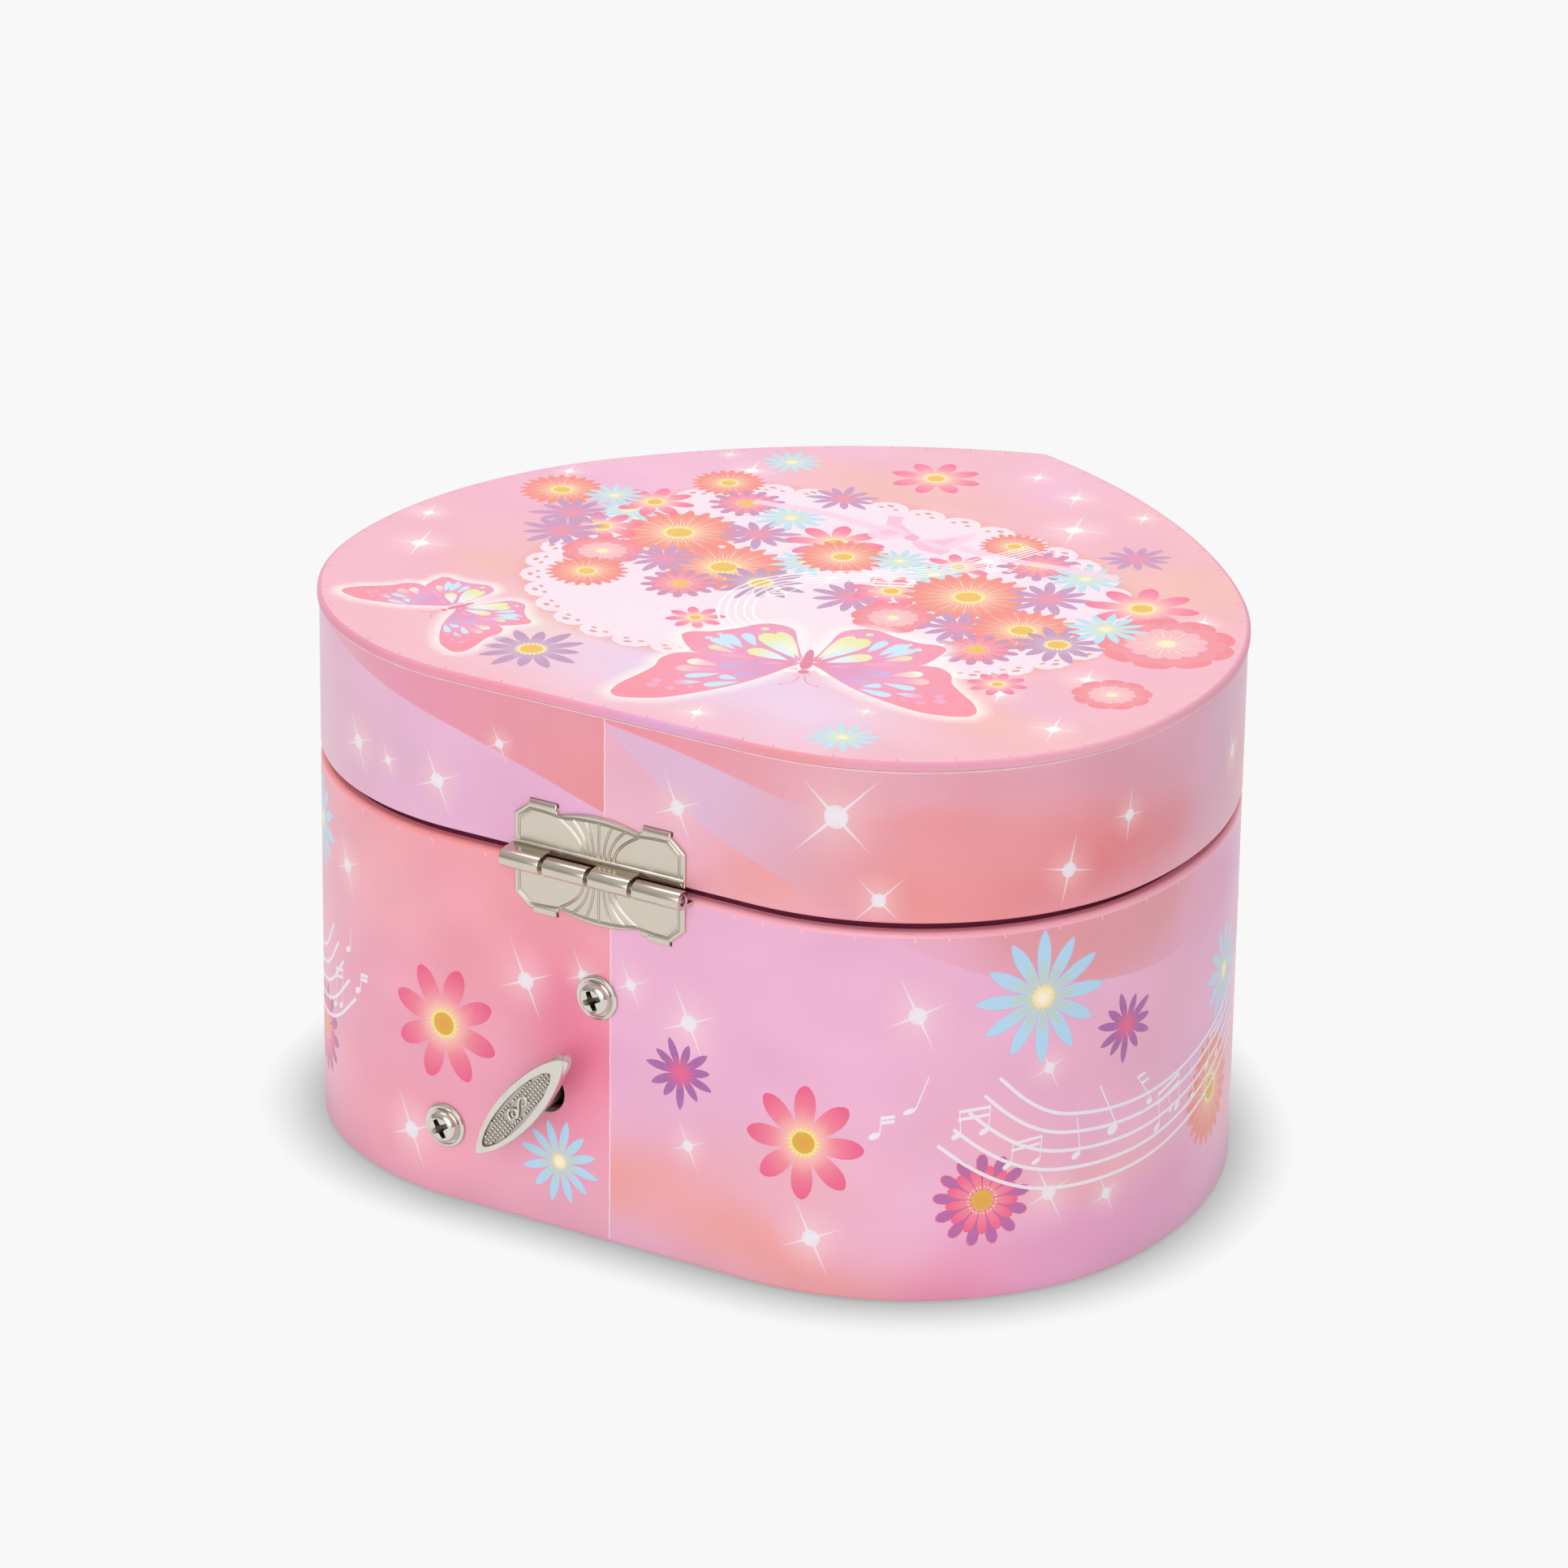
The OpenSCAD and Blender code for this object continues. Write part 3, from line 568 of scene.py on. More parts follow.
class Skin:
    """Faces gathered corner by corner: place, normal, flat place and colour. build() makes the mesh."""

    def __init__(self):
        self.index = {}
        self.places = []
        self.faces = []
        self.corners = []

    def corner(self, place, normal, flat_place, colour):
        key = tuple(round(c, 3) for c in place)
        if key not in self.index:
            self.index[key] = len(self.places)
            self.places.append(place)
        return self.index[key], normal, flat_place, colour

    def face(self, corners):
        ids = [c[0] for c in corners]
        if len(set(ids)) == len(ids):
            self.faces.append(ids)
            self.corners.append([c[1:] for c in corners])

    def grid(self, rows):
        """Quads between rows of corners; each row is outside the one before it."""
        for row, after in zip(rows, rows[1:]):
            for i in range(len(row) - 1):
                self.face([row[i], row[i + 1], after[i + 1], after[i]])

    def thicken(self, depth, back_colour):
        """Gives the sheet its paper thickness: a back face and a closed edge."""
        inward = [Vector((0, 0, 0)) for _ in self.places]
        for ids, data in zip(self.faces, self.corners):
            for v, (normal, _, _) in zip(ids, data):
                inward[v] -= normal
        first = len(self.places)
        self.places += [p + n.normalized() * depth for p, n in zip(self.places, inward)]
        open_edges = {}
        for ids, data in zip(self.faces, self.corners):
            for k, v in enumerate(ids):
                w = ids[(k + 1) % len(ids)]
                if (w, v) in open_edges:
                    del open_edges[w, v]
                else:
                    open_edges[v, w] = (data[k], data[(k + 1) % len(ids)])
        for k in range(len(self.faces)):
            self.faces.append([v + first for v in reversed(self.faces[k])])
            self.corners.append([(-n, uv, back_colour) for n, uv, _ in reversed(self.corners[k])])
        for (v, w), (a, b) in open_edges.items():
            along = self.places[w] - self.places[v]
            out = along.cross(a[0]).normalized()
            self.faces.append([w, v, v + first, w + first])
            self.corners.append([(out, d[1], mix(back_colour, (1, 1, 1), 0.4)) for d in (b, a, a, b)])

    def build(self, name, material, body, slot, *nodes):
        mesh = bpy.data.meshes.new(name)
        mesh.from_pydata([p * MM for p in self.places], [], self.faces)
        corners = [corner for data in self.corners for corner in data]
        normals = [normal for normal, _, _ in corners]
        flat_places = mesh.uv_layers.new(name="flat_mm")
        flat_places.uv.foreach_set("vector", [c for _, uv, _ in corners for c in uv])
        ink = mesh.color_attributes.new("print", "FLOAT_COLOR", "CORNER")
        ink.data.foreach_set("color", [c for _, _, colour in corners for c in (*linear(colour), 1.0)])
        mesh.polygons.foreach_set("use_smooth", [True] * len(mesh.polygons))
        mesh.normals_split_custom_set(normals)
        piece = bpy.data.objects.new(name, mesh)
        bpy.context.scene.collection.objects.link(piece)
        mesh.materials.append(material)
        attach(piece, body)
        if nodes:
            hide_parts(*nodes)
        return piece


def wall_corner(skin, s, z, inset, tilt, colour, run=None):
    """Corner of a wall's paper: at length s and height z, its normal tilted up by tilt."""
    point, out = outline(s, inset)
    normal = Vector((out.x * math.cos(tilt), out.y * math.cos(tilt), math.sin(tilt)))
    return skin.corner(Vector((point.x, point.y, z)), normal, (s, z if run is None else run), colour)


def snap(value, targets):
    """value, or the target it all but equals."""
    return next((t for t in targets if abs(value - t) < 2e-3), value)


def lay_wall(skin, art, z0, z1):
    """Lays flat wall artwork, x along the outline and y upwards, on the wall."""
    points, triangles, colours = art.cut()
    marks = stations()
    spacing = marks[1] - marks[0]
    flat_points = []
    for p in points:
        near = marks[min(len(marks) - 1, max(0, round((p.x + HALF_LENGTH) / spacing)))]
        flat_points.append((snap(p.x, (near,)), snap(p.y, (z0, z1))))
    for ids, shades in zip(triangles, colours):
        corners = [wall_corner(skin, *flat_points[v], SKIN, 0.0, c) for v, c in zip(ids, shades)]
        skin.face(corners[::-1])


def snips(art, place, code, seed):
    """Fine marks where a turned-over edge was cut so that it could bend; place(s) gives a mark's two ends."""
    chance = random.Random(seed)
    s = -HALF_LENGTH + 5
    while s < HALF_LENGTH - 5:
        art.fill(ribbon([Vector(p) for p in place(s)], 0.16), flat(code, 0.8))
        s += chance.uniform(5, 11)


def wall_grid(art, z0, z1, step=2.5):
    """Corners every few millimetres, with upright creases so that the sheet bends evenly."""
    rows = round((z1 - z0) / step)
    for s in stations():
        art.crease([(s, z0 + (z1 - z0) * i / rows) for i in range(rows + 1)])


def wall_band(skin, rows, ink):
    """A swept strip of the wall's paper: rows are (inset, z, tilt), from its lower or outer edge."""
    run = 0.0
    made = []
    for k, (inset, z, tilt) in enumerate(rows):
        if k:
            run += math.hypot(inset - rows[k - 1][0], z - rows[k - 1][1])
        made.append([wall_corner(skin, s, z, inset, tilt, ink((s, z))[0], rows[0][1] + run)
                     for s in reversed(stations())])
    skin.grid(made)


def quarter(r, centre_inset, centre_z, start, end, steps=5):
    """Rows of a rounded edge between two tilts, in radians."""
    rows = []
    for i in range(steps + 1):
        a = start + (end - start) * i / steps
        rows.append((centre_inset - r * math.cos(a), centre_z + r * math.sin(a), a))
    return rows


# ---- materials ----

class Graph:
    """A material's nodes. add() makes a node, sets its plain inputs and links its other inputs."""

    def __init__(self, name):
        self.material = bpy.data.materials.new(name)
        self.material.use_nodes = True
        self.tree = self.material.node_tree
        self.tree.nodes.clear()
        self.shader = self.add("ShaderNodeBsdfPrincipled")
        self.add("ShaderNodeOutputMaterial", {"Surface": self.shader.outputs[0]})

    def add(self, kind, inputs=None, **settings):
        node = self.tree.nodes.new(kind)
        for key, value in settings.items():
            setattr(node, key, value)
        self.put(node, inputs or {})
        return node

    def put(self, node, inputs):
        for key, value in inputs.items():
            if isinstance(value, bpy.types.NodeSocket):
                self.tree.links.new(value, node.inputs[key])
            else:
                node.inputs[key].default_value = value

    def finish(self, **inputs):
        """Sets the shader's inputs, named with underscores for spaces."""
        self.put(self.shader, {k.replace("_", " "): v for k, v in inputs.items()})
        return self.material

    def place(self, scale=1.0, flat_place=False):
        """Millimetre coordinates: in the object, or on the flat paper."""
        source = (self.add("ShaderNodeUVMap", uv_map="flat_mm").outputs[0] if flat_place
                  else self.add("ShaderNodeTexCoord").outputs["Object"])
        size = scale if flat_place else 1000 * scale
        return self.add("ShaderNodeMapping", {"Vector": source, "Scale": (size, size, size)}).outputs[0]

    def noise(self, place, scale, detail=3.0, rough=0.55, distortion=0.0):
        return self.add("ShaderNodeTexNoise", {
            "Vector": place, "Scale": scale, "Detail": detail, "Roughness": rough,
            "Distortion": distortion}).outputs[0]

    def math(self, operation, a, b=0.0, c=0.0):
        return self.add("ShaderNodeMath", {0: a, 1: b, 2: c}, operation=operation).outputs[0]

    def span(self, value, low_end, high_end, start=0.0, end=1.0):
        """value's range from start to end, stretched to low_end to high_end."""
        return self.add("ShaderNodeMapRange", {
            "Value": value, "From Min": start, "From Max": end, "To Min": low_end,
            "To Max": high_end}).outputs[0]

    def blend(self, share, a, b, mode="MIX"):
        node = self.add("ShaderNodeMix", data_type="RGBA", blend_type=mode)
        self.put(node, {0: share, 6: a, 7: b})
        return node.outputs[2]

    def bump(self, height, depth, strength=1.0, onto=None):
        inputs = {"Height": height, "Distance": depth * MM, "Strength": strength}
        if onto is not None:
            inputs["Normal"] = onto
        return self.add("ShaderNodeBump", inputs).outputs[0]


def colour4(code):
    return (*linear(rgb(code)), 1.0)


def printed_paper(name, gloss=0.36, shine=1.0):
    """Satin laminated print: the artwork's ink, a halftone screen, fibre grain and faint handling marks."""
    g = Graph(name)
    ink = g.add("ShaderNodeAttribute", attribute_name="print").outputs["Color"]
    place = g.place(flat_place=True)
    fibre = g.noise(place, 1.6, 4.0)
    mottle = g.noise(place, 0.09, 4.0)
    screen = g.add("ShaderNodeTexWave", {"Vector": place, "Scale": 1.1, "Distortion": 0.4},
                   bands_direction="DIAGONAL").outputs[1]
    shade = g.math("ADD", g.span(fibre, -0.022, 0.022), g.span(mottle, -0.025, 0.025))
    shade = g.math("ADD", shade, g.span(screen, -0.012, 0.012))
    colour = g.add("ShaderNodeHueSaturation", {
        "Color": ink, "Value": g.math("ADD", shade, 1.0), "Saturation": g.span(mottle, 1.03, 0.97)})
    scuff = g.noise(place, 0.5, 6.0, 0.7)
    relief = g.bump(fibre, 0.012, 0.5)
    return g.finish(
        Base_Color=colour.outputs[0], Roughness=g.span(scuff, gloss - 0.05, gloss + 0.09),
        Normal=relief, Coat_Weight=0.25 * shine, Coat_Roughness=0.22, IOR=1.46,
        Specular_IOR_Level=0.5 * shine)


def metal(name, code, rough=0.28, grain=(1.0, 1.0, 1.0), streak=0.06, dark=0.8, dirt=0.12):
    """Plated or drawn metal: streaks along grain, dulled patches, and painted shade, darker and rougher, in
    the grooves and recesses that a vertex layer marks.
    """
    g = Graph(name)
    place = g.place()
    along = g.add("ShaderNodeMapping", {"Vector": place, "Scale": grain}).outputs[0]
    streaks = g.noise(along, 3.0, 5.0, 0.65)
    patches = g.noise(place, 0.35, 4.0)
    base = colour4(code)
    dull = tuple(c * dark for c in base[:3]) + (1.0,)
    colour = g.blend(g.span(patches, 0.0, dirt + 0.2, 0.4, 0.75), base, dull)
    colour = g.blend(g.span(streaks, 0.0, dirt + 0.13, 0.45, 0.8), colour, dull)
    # painted shade: the vertex layer darkens grooves and recesses towards a dark brown-grey and roughens them
    soot = g.add("ShaderNodeAttribute", attribute_name="soot").outputs["Fac"]
    colour = g.blend(soot, colour, colour4("#5c5048"))
    roughness = g.math("ADD", g.span(streaks, rough - streak, rough + streak * 1.6),
                       g.math("MULTIPLY", soot, 0.2))
    return g.finish(
        Base_Color=colour, Metallic=1.0, Roughness=roughness, Normal=g.bump(streaks, 0.004, 0.3))


def flock(name, code, light):
    """Short flocked pile: speckled fibres that catch light at a glancing angle, brushed in patches."""
    g = Graph(name)
    place = g.place()
    fibres = g.noise(place, 4.5, 3.0, 0.7)
    brushed = g.noise(place, 0.12, 3.0, 0.5, 0.6)
    colour = g.blend(g.span(fibres, 0.0, 1.0, 0.35, 0.7), colour4(code), colour4(light))
    colour = g.blend(g.span(brushed, 0.0, 0.45, 0.4, 0.7), colour, colour4(light))
    g.shader.inputs["Sheen Tint"].default_value = colour4(mix_code(light, "#ffffff", 0.4))
    return g.finish(Base_Color=colour, Roughness=0.93, Sheen_Weight=0.55, Sheen_Roughness=0.4,
                    Normal=g.bump(fibres, 0.12, 0.6))


def grey_board():
    """Pressed recycled board: flecks, fibres and layered edges."""
    g = Graph("grey_board")
    place = g.place()
    layers = g.noise(g.add("ShaderNodeMapping", {"Vector": place, "Scale": (0.3, 0.3, 4.0)}).outputs[0],
                     1.2, 4.0)
    flecks = g.add("ShaderNodeTexVoronoi", {"Vector": place, "Scale": 1.5}).outputs["Distance"]
    colour = g.blend(g.span(layers, 0.0, 1.0, 0.3, 0.7), colour4("#9d9282"), colour4("#b8ab98"))
    colour = g.blend(g.span(flecks, 0.5, 0.0, 0.02, 0.12), colour, colour4("#6c6153"))
    return g.finish(Base_Color=colour, Roughness=0.92, Normal=g.bump(layers, 0.08, 0.7))


def mirror():
    g = Graph("mirror_glass")
    haze = g.noise(g.place(), 0.08, 4.0)
    tint = g.blend(haze, colour4("#dfe6ea"), colour4("#eef2f3"))
    return g.finish(Base_Color=tint, Metallic=1.0, Roughness=g.span(haze, 0.015, 0.05),
                    Coat_Weight=0.6, Coat_Roughness=0.03)


def plastic(name, code, light, gloss=0.3, pearl=0.0):
    """Moulded plastic with faint flow marks; pearl adds a shimmering coat."""
    g = Graph(name)
    place = g.place()
    flow = g.noise(place, 0.25, 3.0, 0.5, 1.2)
    fine = g.noise(place, 3.0, 2.0)
    colour = g.blend(flow, colour4(code), colour4(light))
    return g.finish(Base_Color=colour, Roughness=g.span(fine, gloss - 0.05, gloss + 0.08),
                    Coat_Weight=0.3 + pearl, Coat_Roughness=0.12, Sheen_Weight=pearl * 0.5,
                    Normal=g.bump(fine, 0.01, 0.4))


def frame_card():
    """The mirror's card surround: lilac-pink with small pale spots."""
    g = Graph("frame_paper")
    place = g.place()
    spots = g.add("ShaderNodeTexVoronoi", {"Vector": place, "Scale": 0.28,
                                           "Randomness": 0.25}).outputs["Distance"]
    cloud = g.noise(place, 0.05, 3.0)
    colour = g.blend(cloud, colour4("#e8a3c0"), colour4("#e2a9d2"))
    colour = g.blend(g.span(spots, 1.0, 0.0, 0.2, 0.24), colour, colour4("#fbe9f1"))
    return g.finish(Base_Color=colour, Roughness=g.span(g.noise(place, 1.6), 0.34, 0.44), Coat_Weight=0.2,
                    Coat_Roughness=0.25)


def slot_materials():
    """One material for each slot of the record that a carried-over CAD node or a new piece uses."""
    return {
        "case_paper": printed_paper("case_paper"),
        "lid_paper": printed_paper("lid_paper"),
        "panel_paper": printed_paper("panel_paper", 0.4, 0.15),
        "frame_paper": frame_card(),
        "grey_board": grey_board(),
        "base_felt": flock("base_felt", "#4d1830", "#6d2b48"),
        "plum_flock": flock("plum_flock", "#5e1734", "#8c2f55"),
        "plum_velvet": flock("plum_velvet", "#701c3f", "#a53c66"),
        "nickel_plate": metal("nickel_plate", "#d9cfc1", 0.22, (0.25, 1.0, 1.0), streak=0.03, dirt=-0.08),
        "key_nickel": metal("key_nickel", "#e2dcd3", 0.2, (1.0, 1.0, 1.0)),
        "screw_nickel": metal("screw_nickel", "#e0d9d0", 0.13, (1.0, 1.0, 1.0), streak=0.04),
        "spring_steel": metal("spring_steel", "#a9a8a6", 0.33, (0.2, 1.0, 1.0)),
        "comb_steel": metal("comb_steel", "#b7b9bb", 0.3, (0.2, 1.0, 1.0)),
        "zinc_casting": metal("zinc_casting", "#a8a8a4", 0.48, (1.0, 1.0, 1.0), 0.1),
        "brass": metal("brass", "#d4ab5a", 0.3, (0.3, 1.0, 1.0)),
        "mirror_glass": mirror(),
        "white_plastic": plastic("white_plastic", "#e6e4de", "#f4f2ec"),
        "figure_plastic": plastic("figure_plastic", "#c79ae0", "#ecc3e6", 0.25, 0.3),
    }


MATERIALS = slot_materials()


def dress_cad_nodes():
    """Gives every CAD node the material of its slot."""
    for part in frame["record"]["subparts"]:
        mesh = frame["nodes"][part["node"]].data
        mesh.materials.clear()
        mesh.materials.append(MATERIALS[part["material_slot"]])


dress_cad_nodes()

# ---- camera, light and floor ----


def set_camera():
    """The photograph's camera: where it stands, what it aims at and how far it leans."""
    data = bpy.data.cameras.new("camera")
    data.lens = 163.7
    data.sensor_width = 36
    camera = bpy.data.objects.new("camera", data)
    bpy.context.scene.collection.objects.link(camera)
    place, aim = Vector((-563.5, 951, 505.5)), Vector((16.5, -12.5, 47.5))
    back = (place - aim).normalized()
    level = Vector((0, 0, 1)).cross(back).normalized()
    lean = Matrix.Rotation(math.radians(0.8), 3, back)
    right = lean @ level
    camera.matrix_world = Matrix.Translation(place * MM) @ Matrix(
        (right, back.cross(right), back)).transposed().to_4x4()
    bpy.context.scene.camera = camera


def sun(name, aim, power, spread, colour=(1.0, 1.0, 1.0)):
    """Soft, even light that travels in the direction aim."""
    data = bpy.data.lights.new(name, "SUN")
    data.energy = power
    data.angle = math.radians(spread)
    data.color = colour
    lamp = bpy.data.objects.new(name, data)
    lamp.rotation_euler = Vector(aim).to_track_quat("-Z", "Y").to_euler()
    bpy.context.scene.collection.objects.link(lamp)


def set_light():
    """A pale room: broad light from above and behind, weaker light on the near sides."""
    world = bpy.data.worlds.new("studio")
    bpy.context.scene.world = world
    world.use_nodes = True
    tree = world.node_tree
    place = tree.nodes.new("ShaderNodeTexCoord")
    split = tree.nodes.new("ShaderNodeSeparateXYZ")
    ramp = tree.nodes.new("ShaderNodeValToRGB")
    ramp.color_ramp.elements[0].position = 0.0
    ramp.color_ramp.elements[0].color = (0.50, 0.49, 0.48, 1)
    ramp.color_ramp.elements[1].position = 0.8
    ramp.color_ramp.elements[1].color = (1.0, 1.0, 1.0, 1)
    tree.links.new(place.outputs["Generated"], split.inputs[0])
    tree.links.new(split.outputs["Z"], ramp.inputs[0])
    tree.links.new(ramp.outputs[0], tree.nodes["Background"].inputs[0])
    tree.nodes["Background"].inputs[1].default_value = 0.62
    sun("overhead", (-0.25, 0.30, -1.0), 1.35, 50)
    sun("near_fill", (0.25, -1.0, -0.40), 1.08, 50)


def set_floor():
    """A white light table: the floor glows evenly, with a painted contact shadow where something stands close
    to it.
    """
    mesh = bpy.data.meshes.new("floor")
    mesh.from_pydata([(-4, -4, -0.0002), (4, -4, -0.0002), (4, 4, -0.0002), (-4, 4, -0.0002)], [],
                     [(0, 1, 2, 3)])
    floor = bpy.data.objects.new("floor", mesh)
    bpy.context.scene.collection.objects.link(floor)
    g = Graph("floor")
    near = g.add("ShaderNodeAmbientOcclusion", {"Distance": 0.012}, samples=16).outputs["AO"]
    haze = g.noise(g.place(), 0.002, 2.0)
    # painted contact shadow: ambient occlusion near the case turns the glow grey
    shade = g.blend(g.span(near, 0.0, 1.0, 0.45, 1.0), colour4("#b4b2b3"), colour4("#f8f8f8"))
    g.finish(Base_Color=colour4("#000000"), Roughness=1.0, Emission_Color=shade,
             Emission_Strength=g.span(haze, 0.995, 1.005))
    g.shader.inputs["Specular IOR Level"].default_value = 0.0
    mesh.materials.append(g.material)


set_camera()
set_light()
set_floor()
bpy.context.scene.view_settings.view_transform = "Standard"

# ---- printed paper: the case ----
# The places of what the photograph shows were computed from the photograph by a scratch program
# and then rounded, and the inks started from its colours.

CASE_TOP = high("case_wrap").z
LID_Z = low("lid_wrap").z
PANEL_Z = high("lid_wrap").z
TOP_Z = high("lid_panel_wrap").z
SEAM = -2.2               # where the wall papers' ends meet, beside the middle of the back
RIM_R = 0.95
HEM_R = 0.6
BACK_COLOUR = rgb("#d9cfc9")

# inks of the walls' paper
ROSE, DEEP_ROSE, CORAL, SALMON = "#f0a0b8", "#f27498", "#f29ca8", "#f09c98"
PEACH, PALE_PINK, LILAC, ORCHID, MAUVE_PINK = "#f0acb0", "#eeaac0", "#eaa8d0", "#ea98c4", "#edb0d0"

CASE_LEFT = clouds(ROSE, (
    (30, 62, 60, 11, CORAL, 0.9), (12, 50, 22, 14, CORAL, 0.8), (50, 50, 16, 12, PEACH, 0.7),
    (4, 33, 9, 13, DEEP_ROSE, 0.8), (30, 42, 20, 6, CORAL, 0.5), (48, 34, 15, 10, ROSE, 0.8),
    (20, 18, 14, 8, ROSE, 0.6), (4, 4, 20, 9, PALE_PINK, 0.8), (38, 10, 16, 8, CORAL, 0.6),
    (66, 30, 12, 30, PALE_PINK, 0.8), (95, 50, 28, 14, CORAL, 0.8), (120, 16, 30, 12, LILAC, 0.8),
    (160, 44, 26, 16, CORAL, 0.8), (200, 14, 30, 14, SALMON, 0.8), (226, 48, 18, 16, LILAC, 0.8),
), grain=0.03)
CASE_RIGHT = clouds(MAUVE_PINK, (
    (-4, 13, 22, 7, SALMON, 0.9), (-30, 7, 20, 6, SALMON, 0.9), (-48, 3, 14, 5, SALMON, 0.8),
    (-64, 2, 10, 7, "#f28aac", 0.8), (-86, 3, 18, 7, ORCHID, 0.8), (-92, 18, 20, 6, PEACH, 0.7),
    (-70, 27, 14, 5, PEACH, 0.4), (-110, 8, 16, 8, ORCHID, 0.7), (-36, 20, 16, 6, PEACH, 0.5),
    (-100, 42, 30, 10, PALE_PINK, 0.6), (-128, 30, 14, 26, LILAC, 0.7), (-122, 60, 12, 8, ORCHID, 0.9),
    (-150, 14, 20, 10, SALMON, 0.8), (-170, 50, 22, 12, ORCHID, 0.7), (-195, 10, 22, 9, CORAL, 0.8),
    (-215, 48, 22, 12, SALMON, 0.8),
), grain=0.02)

CASE_FLOWERS = (
    (pink_flower, 30, 31, 10.5, 0.3), (pink_flower, -38, 26.5, 10, 1.6), (blue_flower, 7.5, 12, 7.5, 0.2),
    (blue_flower, -76.5, 51.5, 11.5, 0), (blue_flower, -128, 39.5, 9, 0.1), (blue_flower, 70, 53.5, 9, 0.1),
    (purple_flower, -15.5, 33.5, 6.5, 0.1), (purple_flower, -93.5, 42.5, 6.5, 0.2),
    (double_flower, -67, 17.5, 8, 0.1), (double_flower, 68, 17, 8, 0.3), (coral_flower, -122, 21, 10, 0.1),
    (pink_flower, -150, 46, 9.5, 0.2), (purple_flower, -165, 24, 6.5, 0.2), (double_flower, -184, 44, 8, 0.1),
    (blue_flower, -198, 20, 10, 0.3), (coral_flower, -220, 40, 9.5, 0.2), (coral_flower, 92, 24, 9.5, 0.1),
    (purple_flower, 106, 48, 6.5, 0.3), (pink_flower, 128, 24, 10, 0.5), (double_flower, 150, 46, 8, 0.1),
    (blue_flower, 168, 20, 10.5, 0.2), (purple_flower, 186, 44, 6.5, 0.2), (pink_flower, 208, 26, 10, 0.1),
    (blue_flower, 226, 50, 7.5, 0.2),
)
CASE_SPARKLES = (
    (14, 42.5, 1.5), (3, 46, 1), (-6, 46.5, 1), (-17, 42.5, 1.5), (-17, 21, 1), (-39.5, 10, 1.5),
    (-56, 50, 1.5), (-78, 39, 1), (-78.5, 17, 1.3), (-90, 14, 1), (37, 10, 1.5), (55, 51, 1.3),
    (-142, 12, 1.3), (-158, 36, 1), (-174, 8, 1.4), (-206, 54, 1.3), (-228, 12, 1.2), (82, 40, 1.3),
    (112, 12, 1.2), (138, 50, 1.4), (180, 56, 1.1), (196, 8, 1.3), (220, 12, 1.2),
)

WALL_STAFF = ((-64.5, 33), (-68.5, 29.5), (-73, 26.5), (-78, 24.5), (-84, 23.5), (-91, 23), (-100, 23),
              (-109, 24), (-119, 26), (-130, 29), (-144, 36))
WALL_NOTES = (
    ((-49.5, 29), (-50, 32.5), 1, 2), ((-55, 33.5), (-58, 39.5), 1, 0), ((-83.5, 22.5), (-83.5, 29), 1, 0),
    ((-91, 25), (-88, 33.5), 1.4, 0), ((-100, 27), (-96, 32.5), 1, 2), ((-106.5, 23), (-105.5, 26), 0.6, 0),
    ((-114, 22.5), (-113, 29), 1, 0), ((55, 36), (54, 40), 1, 0), ((51.5, 30), (51, 33.5), 1, 2),
    ((84, 28), (83, 34), 1, 0), ((97, 27), (98, 33), 1, 2), ((-150, 36), (-152, 42), 1, 2),
    ((120, 34), (118, 40), 1, 0),
)
WALL_BEAMS = (
    (((-62.5, 29), (-67, 29.5)), ((-63, 33.5), (-68, 34)), 0.9),
    (((-71, 23), (-76, 23)), ((-72, 27), (-77, 27.5)), 0.8),
    (((-102.5, 21.5), (-108.5, 23)), ((-102.5, 27.5), (-109, 29)), 1),
    (((-120, 25.5), (-125, 26)), ((-121, 30.5), (-126, 31.5)), 0.9),
    (((61.5, 23.5), (58.5, 24.5)), ((61, 30.5), (57.5, 31.5)), 0.9),
)


def seam_line(art, z0, z1):
    """The cut edge of the upper paper: a pale, slightly ragged line."""
    chance = random.Random(5)
    steps = 60
    track = [Vector((SEAM + chance.uniform(-0.05, 0.05), z0 + (z1 - z0) * i / steps))
             for i in range(steps + 1)]
    art.fill(ribbon(track, 0.2), flat("#f7dfe9", 0.9))


def case_artwork():
    art = Artwork()
    z0, z1 = HEM_R, CASE_TOP - RIM_R - SKIN
    art.ground([(SEAM, z0), (HALF_LENGTH, z0), (HALF_LENGTH, z1), (SEAM, z1)], CASE_LEFT)
    art.ground([(-HALF_LENGTH, z0), (SEAM, z0), (SEAM, z1), (-HALF_LENGTH, z1)], CASE_RIGHT)
    wall_grid(art, z0, z1)
    band = smooth_line([(-58, 60), (-70, 55.5), (-88, 52), (-104, 51), (-118, 54)], 6)
    art.fill([(-52, z1)] + band + [(-124, z1)],
             radial((-88, 78), [(0, "#e5939e"), (24, "#e597a0", 0.9), (30, "#e9a0b6", 0.7),
                                (44, "#e9a6c0", 0.25)]))
    for s, z, size, *turn in CASE_SPARKLES:
        sparkle(art, (s, z), size, *(turn or (-0.42,)))
    for flower, s, z, r, turn in CASE_FLOWERS:
        flower(art, (s, z), r, turn)
    seam_line(art, z0, z1)
    staff(art, WALL_STAFF, 3.7, 2.2, 0.6)
    staff(art, [(57, 33), (63, 27.5), (70, 25), (80, 24), (92, 26), (104, 31)], 3.4, 2.0, 0.6)
    for head, top, size, flags in WALL_NOTES:
        note(art, head, top, size, flags)
    for heads, tops, size in WALL_BEAMS:
        beamed(art, heads, tops, size)
    cut_openings(art, -1)
    return art, z0, z1


# ---- printed paper: the lid's wall ----
# As on the case, these come from computed readings of the photograph, rounded.

